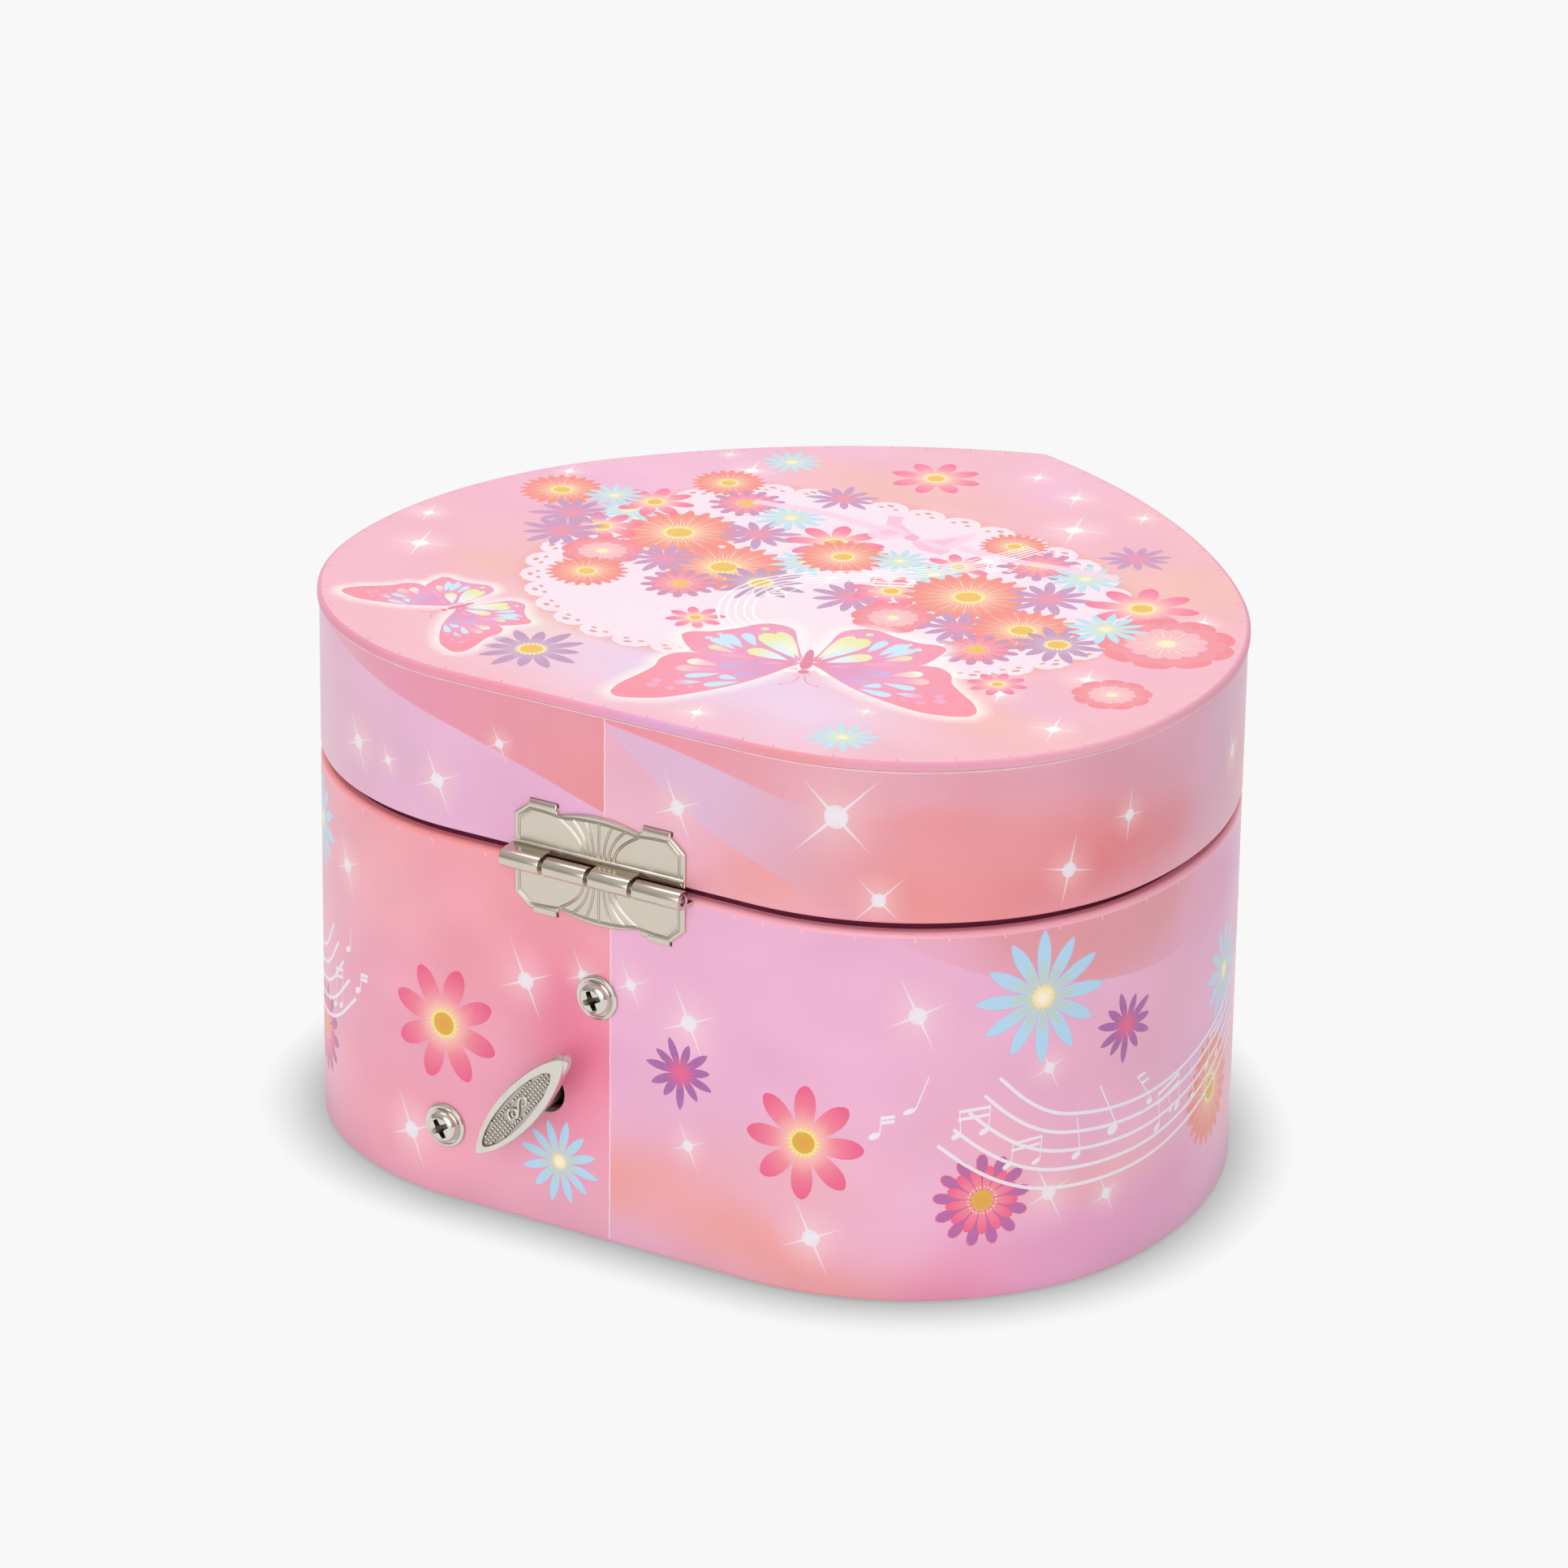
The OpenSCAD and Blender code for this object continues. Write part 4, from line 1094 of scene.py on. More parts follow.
LID_SEAM = SEAM + 1.3
LID_LEFT = clouds("#e8b0d0", (
    (10, 68, 24, 6, LILAC, 0.8), (40, 72, 20, 10, "#e4b4d0", 0.7), (66, 78, 16, 16, "#e4b4c8", 0.9),
    (90, 74, 16, 10, "#e8a0b0", 0.8), (120, 84, 22, 8, LILAC, 0.8), (150, 72, 22, 8, "#e8a0a8", 0.8),
    (190, 82, 22, 9, LILAC, 0.8), (220, 74, 22, 9, "#e8a0a8", 0.8),
), grain=0.02)
LID_RIGHT = clouds("#ecaec4", (
    (-6, 72, 16, 10, "#f2b6cc", 0.8), (-30, 69, 12, 5, SALMON, 0.7), (-60, 71, 24, 8, "#ee9090", 0.9),
    (-88, 75, 20, 9, "#e88086", 1), (-104, 76, 10, 8, "#e48088", 0.8), (-66, 80, 26, 5, "#ea9094", 0.8),
    (-60, 88, 26, 4, "#e49aa8", 0.8), (-96, 88, 18, 5, "#de96ac", 0.8), (-124, 80, 14, 16, "#dca6c4", 0.9),
    (-150, 72, 22, 8, SALMON, 0.7), (-185, 84, 22, 8, LILAC, 0.8), (-215, 74, 22, 9, SALMON, 0.7),
), grain=0.015)
LID_SPARKLES = (
    (31, 73.5, 1.3), (50.5, 74.5, 1.3), (19, 82.5, 0.8), (42, 74, 0.8), (-14.5, 79, 1.3),
    (-42.5, 83, 2, 0.8), (-49.5, 69.5, 1.2, 0.8), (-80.5, 72.5, 1.3, 0.2), (-92.5, 79, 1, 0.1),
    (-128, 78, 1.1), (-150, 82, 1.4), (-176, 72, 1.1), (-206, 80, 1.5), (76, 80, 1.2), (104, 72, 1.4),
    (138, 82, 1.1), (170, 76, 1.5), (206, 82, 1.2),
)


def lid_artwork():
    art = Artwork()
    z0, z1 = LID_Z + 0.5 + SKIN, PANEL_Z
    art.ground([(LID_SEAM, z0), (HALF_LENGTH, z0), (HALF_LENGTH, z1), (LID_SEAM, z1)], LID_LEFT)
    art.ground([(-HALF_LENGTH, z0), (LID_SEAM, z0), (LID_SEAM, z1), (-HALF_LENGTH, z1)], LID_RIGHT)
    wall_grid(art, z0, z1)
    edge = smooth_line([(LID_SEAM, 75), (14, 79.5), (30, 84), (48, 88), (64, z1)], 6)
    art.fill(edge + [(LID_SEAM, z1)],
             radial((-2, 76), [(0, "#ea9094"), (14, "#ea94a0"), (40, "#e894ae"), (66, "#e8a8bc")]))
    lilac = smooth_line([(LID_SEAM, 90), (-8, 84.5), (-15, 79.5), (-24, 75), (-33, 71.5), (-40, 67.5)], 6)
    fade = smooth_line([(-62, 70), (-60, 78), (-38, 84), (-25, 86.5), (-12, 89)], 6)
    art.fill(lilac + fade, radial((-4, 90), [
        (0, "#e2b4d2"), (20, "#e0b6d2"), (34, "#e0a8bc", 0.8), (46, "#e29ca6", 0.4), (56, "#e4949c", 0.0)]))
    wedge = smooth_line([(LID_SEAM, 90.5), (-12, 89), (-25, 86.5), (-38, 84), (-52, 83)], 6)
    art.fill([(LID_SEAM, z1)] + wedge + [(-66, z1)], radial((-2, 92), [
        (0, "#f08f9e"), (20, "#ec98a6"), (34, "#e8a2b0", 0.9), (50, "#e6a6b4", 0.4), (64, "#e6a8bc", 0.0)]))
    for s, z, size, *turn in LID_SPARKLES:
        sparkle(art, (s, z), size, *(turn or (-0.42,)), glow="#f7ccc8")
    shifted = [Vector((LID_SEAM + 0.04 * math.sin(1.7 * i), z0 + (z1 - z0) * i / 24)) for i in range(25)]
    art.fill(ribbon(shifted, 0.18), flat("#f7dfe9", 0.9))
    ragged_edge(art, z1)
    cut_openings(art, 1)
    return art, z0, z1


def ragged_edge(art, z1):
    """The cut upper edge of the lid wall's paper, seen as a fine pale line below the panel."""
    chance = random.Random(8)
    count = 470
    edge = [(-HALF_LENGTH + 2 * HALF_LENGTH * i / count, z1 - 0.22 - chance.uniform(0, 0.1))
            for i in range(count + 1)]
    art.fill(edge + [(HALF_LENGTH, z1), (-HALF_LENGTH, z1)], flat("#f6e3ea", 0.55))


# ---- printed paper: the top panel ----
# As on the case, these come from computed readings of the photograph, rounded.

# inks of the top's paper
SHELL, TOP_PEACH, LAVENDER, TOP_ORCHID = "#f4bacc", "#f4c0b6", "#eed4ec", "#f2c0dc"
TOP_GROUND = clouds("#f4bec8", (
    (62, 30, 22, 26, SHELL, 0.8), (66, 0, 16, 24, SHELL, 0.8), (30, 52, 26, 12, "#f4c2c8", 0.8),
    (48, 26, 10, 8, TOP_PEACH, 0.8), (0, 50, 26, 14, LAVENDER, 1), (-24, 58, 22, 10, LAVENDER, 0.9),
    (-4, 22, 14, 10, "#f0def0", 0.8), (-52, 40, 16, 12, TOP_PEACH, 0.9), (-66, 10, 12, 20, SHELL, 0.7),
    (-56, 30, 10, 8, TOP_ORCHID, 0.6), (40, -36, 24, 16, TOP_ORCHID, 0.8), (10, -44, 22, 12, TOP_PEACH, 0.8),
    (-24, -42, 20, 12, SHELL, 0.8), (-50, -24, 18, 14, TOP_PEACH, 0.8), (58, -18, 14, 16, TOP_ORCHID, 0.8),
    (30, -56, 18, 10, TOP_ORCHID, 0.8), (-8, -60, 14, 10, TOP_ORCHID, 0.7), (28, 44, 14, 8, "#f4dcd6", 0.7),
), wobble=9.0, grain=0.015)
DOILY = (
    (46, 10), (44, 22), (38, 31), (27, 40), (13, 44), (0, 42), (-14, 40), (-28, 36), (-40, 28),
    (-50, 16), (-53, 2), (-49, -10), (-42, -19), (-30, -28), (-14, -32), (2, -33), (20, -32), (34, -28),
    (43, -14), (47, -2),
)
TOP_STAFF = (
    (-1, 28.5), (3.5, 25), (7, 18), (7, 11), (4.5, 6), (-0.5, 1), (-6.5, -3.5), (-12.5, -10),
    (-17, -16.5), (-20, -23.5), (-22, -29),
)
TOP_NOTES = (((-0.5, 1.5), (-0.5, 9.5), 1.3, 0), ((-18, -19.5), (-20, -14.5), 0.9, 1))
TOP_BEAMS = (
    (((-5.5, -3.5), (-12, -4.5)), ((-8, 1), (-14, -2)), 0.9),
    (((2, 8), (4.5, 10.5)), ((2, 13), (4, 14.5)), 0.9),
    (((-18.5, -20), (-23, -21)), ((-19.5, -16.5), (-24, -17)), 0.6),
)
TOP_FLOWERS = (
    (coral_flower, 60, -10, 7.5), (coral_flower, 32, -3, 11), (coral_flower, 38, -28.5, 6.5),
    (blue_flower, 45, -7.5, 6), (pink_flower, 44.5, 1.5, 7), (pink_flower, 43.5, -13.5, 7),
    (purple_flower, 52.5, -1.5, 7.5), (blue_flower, 51, -12.5, 5.5), (purple_flower, 49, 7, 8),
    (double_flower, 30, -21.5, 6.5), (purple_flower, 20.5, -9.5, 7.5), (blue_flower, 20, -19.5, 6.5),
    (coral_flower, 17, 7, 11), (rosette, 38, 11.5, 7), (coral_flower, 35, 21, 7), (purple_flower, 27.5, 9, 7),
    (double_flower, 19, 17.5, 6.5), (violet_flower, 8, 10, 8.5), (purple_flower, 17.5, -32.5, 6.5),
    (blue_flower, 6.5, -2.5, 6.5), (pink_flower, 7.5, -13, 8.5), (coral_flower, 3, -8, 8),
    (blue_flower, -6, -11.5, 5.5), (pink_flower, -15.5, -14.5, 6), (blue_flower, -14, -9, 6),
    (purple_flower, -8, 7.5, 8), (pink_flower, -12, 1.5, 7), (coral_flower, -24, -3, 11),
    (coral_flower, -18.5, -28, 6), (double_flower, -26.5, -22, 7), (rosette, -18.5, 12, 7),
    (purple_flower, -35.5, -9.5, 8), (purple_flower, -29.5, 10, 7.5), (coral_flower, -39, 5.5, 9.5),
    (double_flower, -37, 17, 7), (blue_flower, -36, -21, 6.5), (violet_flower, -47, 8, 8.5),
    (pink_flower, -50.5, -14, 9.5), (rosette, -61.5, -2, 11.5), (blue_flower, -50, -2.5, 7),
    (pink_flower, 8.5, 29.5, 5), (pink_flower, -47.5, 28.5, 5), (violet_flower, 23, 56, 9.5),
    (blue_flower, 34.5, -43.5, 5.5), (blue_flower, -38.5, 61.5, 6), (pink_flower, 9.5, -50, 8),
    (purple_flower, -38.5, -34, 6.5), (rosette, -65, 22.5, 6.5),
)
PALE_INKS = {
    coral_flower: {"petals": "#f49890", "rays": "#f8e8c0", "eye": TOP_EYE},
    blue_flower: {"petals": "#c0e4f0", "vein": "#e6e8c0", "edge": "#d8dcec", "heart": "#f4eca8"},
    purple_flower: {"petals": "#cca0c4", "heart": "#f29cb0"},
    double_flower: {"outer": "#cc9cc0", "inner": "#f898a8", "eye": TOP_EYE},
    pink_flower: {"tip": "#f684a6", "base": "#facec0", "eye": TOP_EYE},
    rosette: {"outer": "#f4949e", "inner": "#f6c0c6"},
    violet_flower: {"petals": "#c8a0c0"},
}
TOP_SPARKLES = (
    (65.5, 25, 1.5), (72.5, 12, 1), (-15.5, -54.5, 1), (-23, -40.5, 1.6), (38, -36, 1.2),
    (-64.5, 40.5, 1.2), (-62, -13.5, 1), (64, -18.5, 0.8), (45.5, -41, 0.6), (-58.5, 19, 1.1),
    (-50, 32, 1), (-14, 65, 1), (-5, -60, 0.8), (-30, -52, 0.8), (-36, 50, 0.6), (2, 60, 0.6),
)


def doily(art):
    """A round paper lace: scalloped edge, three eyelets in each scallop and a pale middle."""
    edge = smooth_loop(DOILY, 8)
    total = sum((a - b).length for a, b in zip(edge, edge[1:] + edge[:1]))
    count = round(total / 7.2)
    marks, run, k = [], 0.0, 0
    for a, b in zip(edge, edge[1:] + edge[:1]):
        while k < count and run + (b - a).length >= k * total / count:
            t = (k * total / count - run) / (b - a).length
            marks.append(a + (b - a) * t)
            k += 1
        run += (b - a).length
    middle = sum(marks, Vector((0, 0))) / len(marks)
    art.fill([p + (p - middle).normalized() * 4.2 for p in edge],
             lambda p: ((0.93, 0.66, 0.60),
                        0.75 * max(0.0, 1 - min((Vector(p) - q).length for q in edge) / 4.0)))
    lace, rim = flat("#f8e5ef"), []
    for a, b in zip(marks, marks[1:] + marks[:1]):
        out = Vector((b.y - a.y, a.x - b.x)).normalized()
        out = out if out.dot(a - middle) > 0 else -out
        half = (b - a) / 2
        for i in range(10):
            t = math.pi * i / 10
            tooth = 0.25 if i % 2 else 0.0
            rim.append((a + b) / 2 - half * math.cos(t) + out * (2.6 + tooth) * math.sin(t))
    art.fill(rim, lace)
    for a, b in zip(marks, marks[1:] + marks[:1]):
        out = ((a + b) / 2 - middle).normalized()
        across = (b - a).normalized()
        for x, y, r in ((0, 1.0, 0.72), (-1.4, -0.3, 0.55), (1.4, -0.3, 0.55)):
            spot = (a + b) / 2 + across * x + out * y
            art.fill([spot + across * r * math.cos(t) + out * r * 0.7 * math.sin(t)
                      for t in (math.tau * i / 9 for i in range(9))], flat("#e3ab9c"))


def bow(art):
    """A pale pink ribbon across the lace, tied in a bow."""
    pale, mid, deep = flat("#fad6e6", 0.92), flat("#f8c6dd", 0.92), flat("#f3b2d2", 0.9)
    for track in (((29.5, -23), (22, -24), (16, -24.5), (4.5, -23)),
                  ((-11, -22.5), (-22, -22), (-32.5, -23.5), (-40.5, -24))):
        art.fill(ribbon(smooth_line(track, 5), 2.2), pale)
    for track in (((-1.5, -22.5), (1.5, -24.5), (4, -26.5), (5.5, -30)),
                  ((-3.5, -22), (-6, -19.5), (-10.5, -19))):
        art.fill(ribbon(smooth_line(track, 5), 2.6), mid)
    for loop in (((-1, -23), (2.5, -25), (5.5, -25), (6, -22), (4.5, -19), (1.5, -19)),
                 ((-3.5, -22), (-6.5, -25), (-9.5, -29.5), (-10.5, -28.5), (-10.5, -23), (-9.5, -20),
                  (-6, -20.5))):
        art.fill(smooth_loop(loop, 5), pale)
        middle = sum((Vector(p) for p in loop), Vector((0, 0))) / len(loop)
        art.fill(smooth_loop([Vector(loop[0]) + (middle + (Vector(p) - middle) * 0.5 - Vector(loop[0])) * 0.9
                              for p in loop], 4), mid)
    art.fill(ring((-2, -22.3), 1.3, 12), deep)


def top_artwork(inset):
    art = Artwork()
    edge = [tuple(outline(s, inset)[0]) for s in stations()[:-1]]
    art.ground(edge, TOP_GROUND)
    art.dots([(x * 3.0 + (y % 2) * 1.5, y * 2.8) for x in range(-26, 27) for y in range(-26, 27)
              if abs(y * 2.8) < 74 and (x * 3.0) ** 2 + (y * 2.8) ** 2 < 82 ** 2
              and inside_heart(x * 3.0, y * 2.8, 3)])
    doily(art)
    for x, y, size in TOP_SPARKLES:
        sparkle(art, (x, y), size, 0.3, glow="#fde4e0", white="#fffafa")
    for number, (flower, x, y, r) in enumerate(TOP_FLOWERS):
        flower(art, (x, y), r, 0.37 * number, **PALE_INKS[flower])
    bow(art)
    staff(art, TOP_STAFF, 1.5, 0.85, 0.4, ink="#ffffff", alpha=0.85)
    for head, top, size, flags in TOP_NOTES:
        note(art, head, top, size, flags, ink="#ffffff", way=unit(math.radians(225)))
    for heads, tops, size in TOP_BEAMS:
        beamed(art, heads, tops, size, ink="#ffffff", way=unit(math.radians(225)))
    butterfly_print(art, (43.5, 46.5), 0.6, math.radians(67))
    butterfly_print(art, (-17, 36.5), 1.0, math.radians(114))
    return art


def inside_heart(x, y, margin):
    """True if the point is inside the outline by about the margin."""
    for centre, r, a0, a1 in ARCS:
        away = Vector((abs(x), y)) - centre
        if a1 <= math.atan2(away.y, away.x) <= a0 and away.length > r - margin:
            return False
    return y < BACK_Y - margin


# ---- papering ----


def cut_openings(art, side):
    """Holes for the hinge's tabs, and in the case (side -1) for the key's stem."""
    tabs = ((7.8, 13.0), (-13.6, -8.4)) if side > 0 else ((7.8, 12.2), (-13.6, -9.4))
    hinge_z = (CASE_TOP + LID_Z) / 2
    z0, z1 = (hinge_z + 9.05, hinge_z + 9.85) if side > 0 else (hinge_z - 9.85, hinge_z - 9.05)
    for a, b in tabs:
        art.fill([(a - 0.2, z0), (b + 0.2, z0), (b + 0.1, z1), (a - 0.1, z1)], None)
    if side < 0:
        art.fill(ring((10.3, 24.0), 3.8, 40), None)


def paper_case():
    art, z0, z1 = case_artwork()
    snips(art, lambda s: ((s, z1 - 0.6), (s + 0.2, z1)), "#fbdfe8", 3)
    skin = Skin()
    lay_wall(skin, art, z0, z1)
    # the rim's bright coral ink is partly the folded paper's own colour and partly painted light that
    # brightens the rim under the lid's overhang
    colour = lambda p: (mix(CASE_LEFT((p[0], 50))[0] if p[0] > SEAM else CASE_RIGHT((p[0], 52))[0],
                            rgb("#ff9da0" if p[0] > SEAM else "#ffb0be"), 0.8), 1.0)
    rim = quarter(RIM_R - SKIN, RIM_R, z1, 0.0, math.pi / 2)
    wall_band(skin, rim + [(BOARD - 0.3, rim[-1][1], math.pi / 2)], colour)
    hem = quarter(HEM_R - SKIN, HEM_R, z0, 0.0, -math.pi / 2)
    ground = lambda p: CASE_LEFT((p[0], 3)) if p[0] > SEAM else CASE_RIGHT((p[0], 3))
    wall_band_down(skin, hem + [(5.9, hem[-1][1], -math.pi / 2)], ground)
    skin.thicken(0.26, BACK_COLOUR)
    return skin.build("case_print", MATERIALS["case_paper"], "case", "case_paper", "case_wrap")


def wall_band_down(skin, rows, ink):
    """wall_band for rows that go down and under: the same strip, facing the other way."""
    mark = len(skin.faces)
    wall_band(skin, rows, ink)
    for k in range(mark, len(skin.faces)):
        skin.faces[k].reverse()
        skin.corners[k].reverse()


def paper_lid():
    art, z0, z1 = lid_artwork()
    skin = Skin()
    lay_wall(skin, art, z0, z1)
    ground = lambda p: LID_LEFT((p[0], 68)) if p[0] > LID_SEAM else LID_RIGHT((p[0], 68))
    hem = quarter(0.5 - SKIN, 0.5, z0, 0.0, -math.pi / 2)
    wall_band_down(skin, hem + [(BOARD - 0.02, hem[-1][1], -math.pi / 2)], ground)
    skin.thicken(0.26, BACK_COLOUR)
    return skin.build("lid_print", MATERIALS["lid_paper"], "lid", "lid_paper", "lid_wrap")


def paper_top():
    edge_r = 0.7
    edge = -PANEL_PROUD + SKIN
    art = top_artwork(edge + edge_r)
    snips(art, lambda s: (outline(s, edge + edge_r)[0], outline(s + 0.3, edge + edge_r + 1.1)[0]),
          "#d98ba4", 4)
    points, triangles, colours = art.cut()
    top = TOP_Z - SKIN
    skin = Skin()
    rim_places = {}
    for s in stations():
        p = outline(s, edge + edge_r)[0]
        rim_places[round(p.x, 2), round(p.y, 2)] = p
    for ids, shades in zip(triangles, colours):
        corners = []
        for v, c in zip(ids, shades):
            p = rim_places.get((round(points[v].x, 2), round(points[v].y, 2)), points[v])
            corners.append(skin.corner(Vector((p.x, p.y, top)), Vector((0, 0, 1)), (p.x, p.y), c))
        skin.face(corners)
    side = clouds("#eba6bc", ((-12, 92, 16, 9, "#e2a8d4", 0.9), (-34, 92, 12, 9, "#f09a9e", 0.9),
                              (-58, 92, 14, 9, "#eba0b8", 0.8), (-90, 92, 20, 9, "#f0aebe", 0.8),
                              (20, 92, 20, 9, "#f098aa", 0.9), (52, 92, 16, 9, "#e597ac", 0.8)), wobble=2.0)
    roll = quarter(edge_r, edge + edge_r, top - edge_r, math.pi / 2, 0.0)
    wall_band_down(skin, roll + [(edge, PANEL_Z + 0.22, 0.0), (0.3, PANEL_Z + 0.12, -math.pi / 2)], side)
    skin.thicken(0.26, BACK_COLOUR)
    return skin.build("panel_print", MATERIALS["panel_paper"], "lid", "panel_paper", "lid_panel_wrap")


paper_case()
paper_lid()
paper_top()

# ---- hardware ----
# The hinge leaf's corners are part.scad's, which a scratch program computed from the photograph.

WALL_Y = BACK_Y
HINGE_Z = (CASE_TOP + LID_Z) / 2
LEAF_T = 0.7
PIN_Y = BACK_Y + 3.0
BARREL_R = 1.63


def to_piece(name, bm, material, body, nodes=(), crease=32):
    """Finishes a bmesh drawn in millimetres as a smooth-shaded piece with creases at sharp edges."""
    bmesh.ops.remove_doubles(bm, verts=bm.verts, dist=1e-4)
    bmesh.ops.recalc_face_normals(bm, faces=bm.faces)
    for face in bm.faces:
        face.smooth = True
    for edge in bm.edges:
        edge.smooth = len(edge.link_faces) == 2 and edge.calc_face_angle(0) < math.radians(crease)
    bmesh.ops.scale(bm, vec=(MM, MM, MM), verts=bm.verts)
    mesh = bpy.data.meshes.new(name)
    bm.to_mesh(mesh)
    bm.free()
    mesh.materials.append(material)
    piece = bpy.data.objects.new(name, mesh)
    bpy.context.scene.collection.objects.link(piece)
    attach(piece, body)
    if nodes:
        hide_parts(*nodes)
    return piece


def lathe(bm, profile, place, steps=48):
    """Turns (radius, height) points about the z axis of the matrix place."""
    rings = []
    for r, h in profile:
        if r < 1e-6:
            rings.append([bm.verts.new(place @ Vector((0, 0, h)))])
        else:
            rings.append([bm.verts.new(place @ Vector((r * math.cos(math.tau * i / steps),
                                                       r * math.sin(math.tau * i / steps), h)))
                          for i in range(steps)])
    for a, b in zip(rings, rings[1:]):
        for i in range(steps):
            corners = [a[i % len(a)], a[(i + 1) % len(a)], b[(i + 1) % len(b)], b[i % len(b)]]
            bm.faces.new(list(dict.fromkeys(corners)))


def loft(bm, loops, close_ends=True):
    """Skins closed loops with equal numbers of points."""
    rows = [[bm.verts.new(p) for p in loop] for loop in loops]
    for a, b in zip(rows, rows[1:]):
        for i in range(len(a)):
            j = (i + 1) % len(a)
            bm.faces.new([a[i], a[j], b[j], b[i]])
    if close_ends:
        bm.faces.new(rows[0][::-1])
        bm.faces.new(rows[-1])
    return rows


def prism(bm, section, a, b, place, bevel=0.1):
    """A straight bar between a and b with the given cross section and slightly rounded ends."""
    middle = sum((Vector(p) for p in section), Vector((0, 0))) / len(section)

    def loop(at, shrink):
        return [place(at, *(middle + (Vector(p) - middle) * (1 - shrink))) for p in section]
    shrink = bevel / 2
    loft(bm, [loop(a, shrink), loop(a + bevel, 0), loop(b - bevel, 0), loop(b, shrink)])


def reach(p, line):
    """Distance from a point to a line of points."""
    best = 1e9
    for a, b in zip(line, line[1:]):
        along = b - a
        t = max(0.0, min(1.0, (p - a).dot(along) / max(1e-9, along.length_squared)))
        best = min(best, (p - a - along * t).length)
    return best


def side_track(line, offset):
    """The line moved sideways."""
    track = []
    for i, p in enumerate(line):
        ahead = line[min(i + 1, len(line) - 1)] - line[max(i - 1, 0)]
        track.append(p + Vector((-ahead.y, ahead.x)).normalized() * offset)
    return track


def relief_plate(bm, edge, lines, thickness, place, bevel=0.22, groove=0.12, width=0.3, domed=None):
    """A stamped plate: edge is its outline, lines its raised ribs, place(x, y, height) its place.

    Each rib stands between two grooves, which a vertex layer darkens with painted shade.
    """
    soot = bm.verts.layers.float.get("soot") or bm.verts.layers.float.new("soot")
    edge = [Vector(p) for p in edge]
    art = Artwork()
    art.fill(edge, flat("#ffffff"))
    rounds = [inset_loop(edge, bevel * k) for k in (0.3, 1.0)]
    for loop in rounds:
        art.crease(loop + loop[:1])
    for line in lines:
        for share in (0.0, 0.3, 0.6, 1.0):
            art.crease(side_track(line, width * share))
            if share:
                art.crease(side_track(line, -width * share))
    points, _, faces, _, _, _ = geometry.delaunay_2d_cdt(art.points, art.edges, art.faces, 1, 1e-4)
    rim = edge + edge[:1]

    def height(p):
        near = min(1.0, reach(p, rim) / bevel)
        level = -0.9 * bevel * (1 - near) ** 2
        away = min((reach(p, line) for line in lines), default=width) / width
        sunk = max(0.0, 1 - abs(away - 0.6) / 0.36)
        proud = max(0.0, 1 - away / 0.5)
        # height, and painted shade that darkens the grooves
        return level + groove * (0.5 * proud - sunk) + (domed(p) if domed else 0.0), 0.55 * sunk
    front = []
    for p in points:
        level, dark = height(p)
        front.append(bm.verts.new(place(p.x, p.y, level)))
        front[-1][soot] = dark
    back = [bm.verts.new(place(p.x, p.y, -thickness)) for p in points]
    for ids in faces:
        bm.faces.new([front[v] for v in ids])
        bm.faces.new([back[v] for v in reversed(ids)])
    uses = {}
    for ids in faces:
        for a, b in zip(ids, ids[1:] + ids[:1]):
            uses[frozenset((a, b))] = uses.get(frozenset((a, b)), 0) + 1
    for pair, count in uses.items():
        if count == 1:
            a, b = pair
            bm.faces.new([front[a], front[b], back[b], back[a]])


LEAF_MIDDLE = -0.3
LEAF_ARCH_R = 24.7
LEAF_ARCH_TOP = 9.35


def leaf_outline():
    """Half of the hinge's outline above its pin: cut corners and an arched middle."""
    arch = []
    for i in range(25):
        x = 7.4 - 15.2 * i / 24
        arch.append((x, LEAF_ARCH_TOP - LEAF_ARCH_R + math.sqrt(LEAF_ARCH_R ** 2 - (x - LEAF_MIDDLE) ** 2)))
    return ([(-16.3, 0.9), (15.8, 0.9), (15.8, 6.9), (13.0, 9.1), (7.9, 9.1)] + arch
            + [(-8.3, 9.1), (-13.6, 9.1), (-16.3, 6.7)])


def leaf_lines():
    """Raised border of each wing of the leaf, its arch and the fan of curved rays."""
    lines = [
        smooth_line([(14.8, 1.9), (14.8, 4.2), (14.8, 6.5)], 2)
        + smooth_line([(12.7, 8.2), (10, 8.15), (7.3, 7.9)], 2),
        smooth_line([(-15.3, 1.9), (-15.3, 4.2), (-15.3, 6.4)], 2)
        + smooth_line([(-13.3, 8.2), (-10.6, 8.15), (-7.9, 7.9)], 2),
        smooth_line([(7.0, 7.75), (3.5, 8.3), (-0.3, 8.5), (-4.1, 8.3), (-7.6, 7.75)], 6),
    ]
    for k in range(-3, 4):
        top = 8.3 - 0.08 * k * k
        ray = []
        for i in range(7):
            t = i / 6
            ray.append((LEAF_MIDDLE + k * (0.95 + 1.45 * t ** 2.2), 2.2 + (top - 2.2) * t))
        lines.append(smooth_line(ray, 3))
    return lines


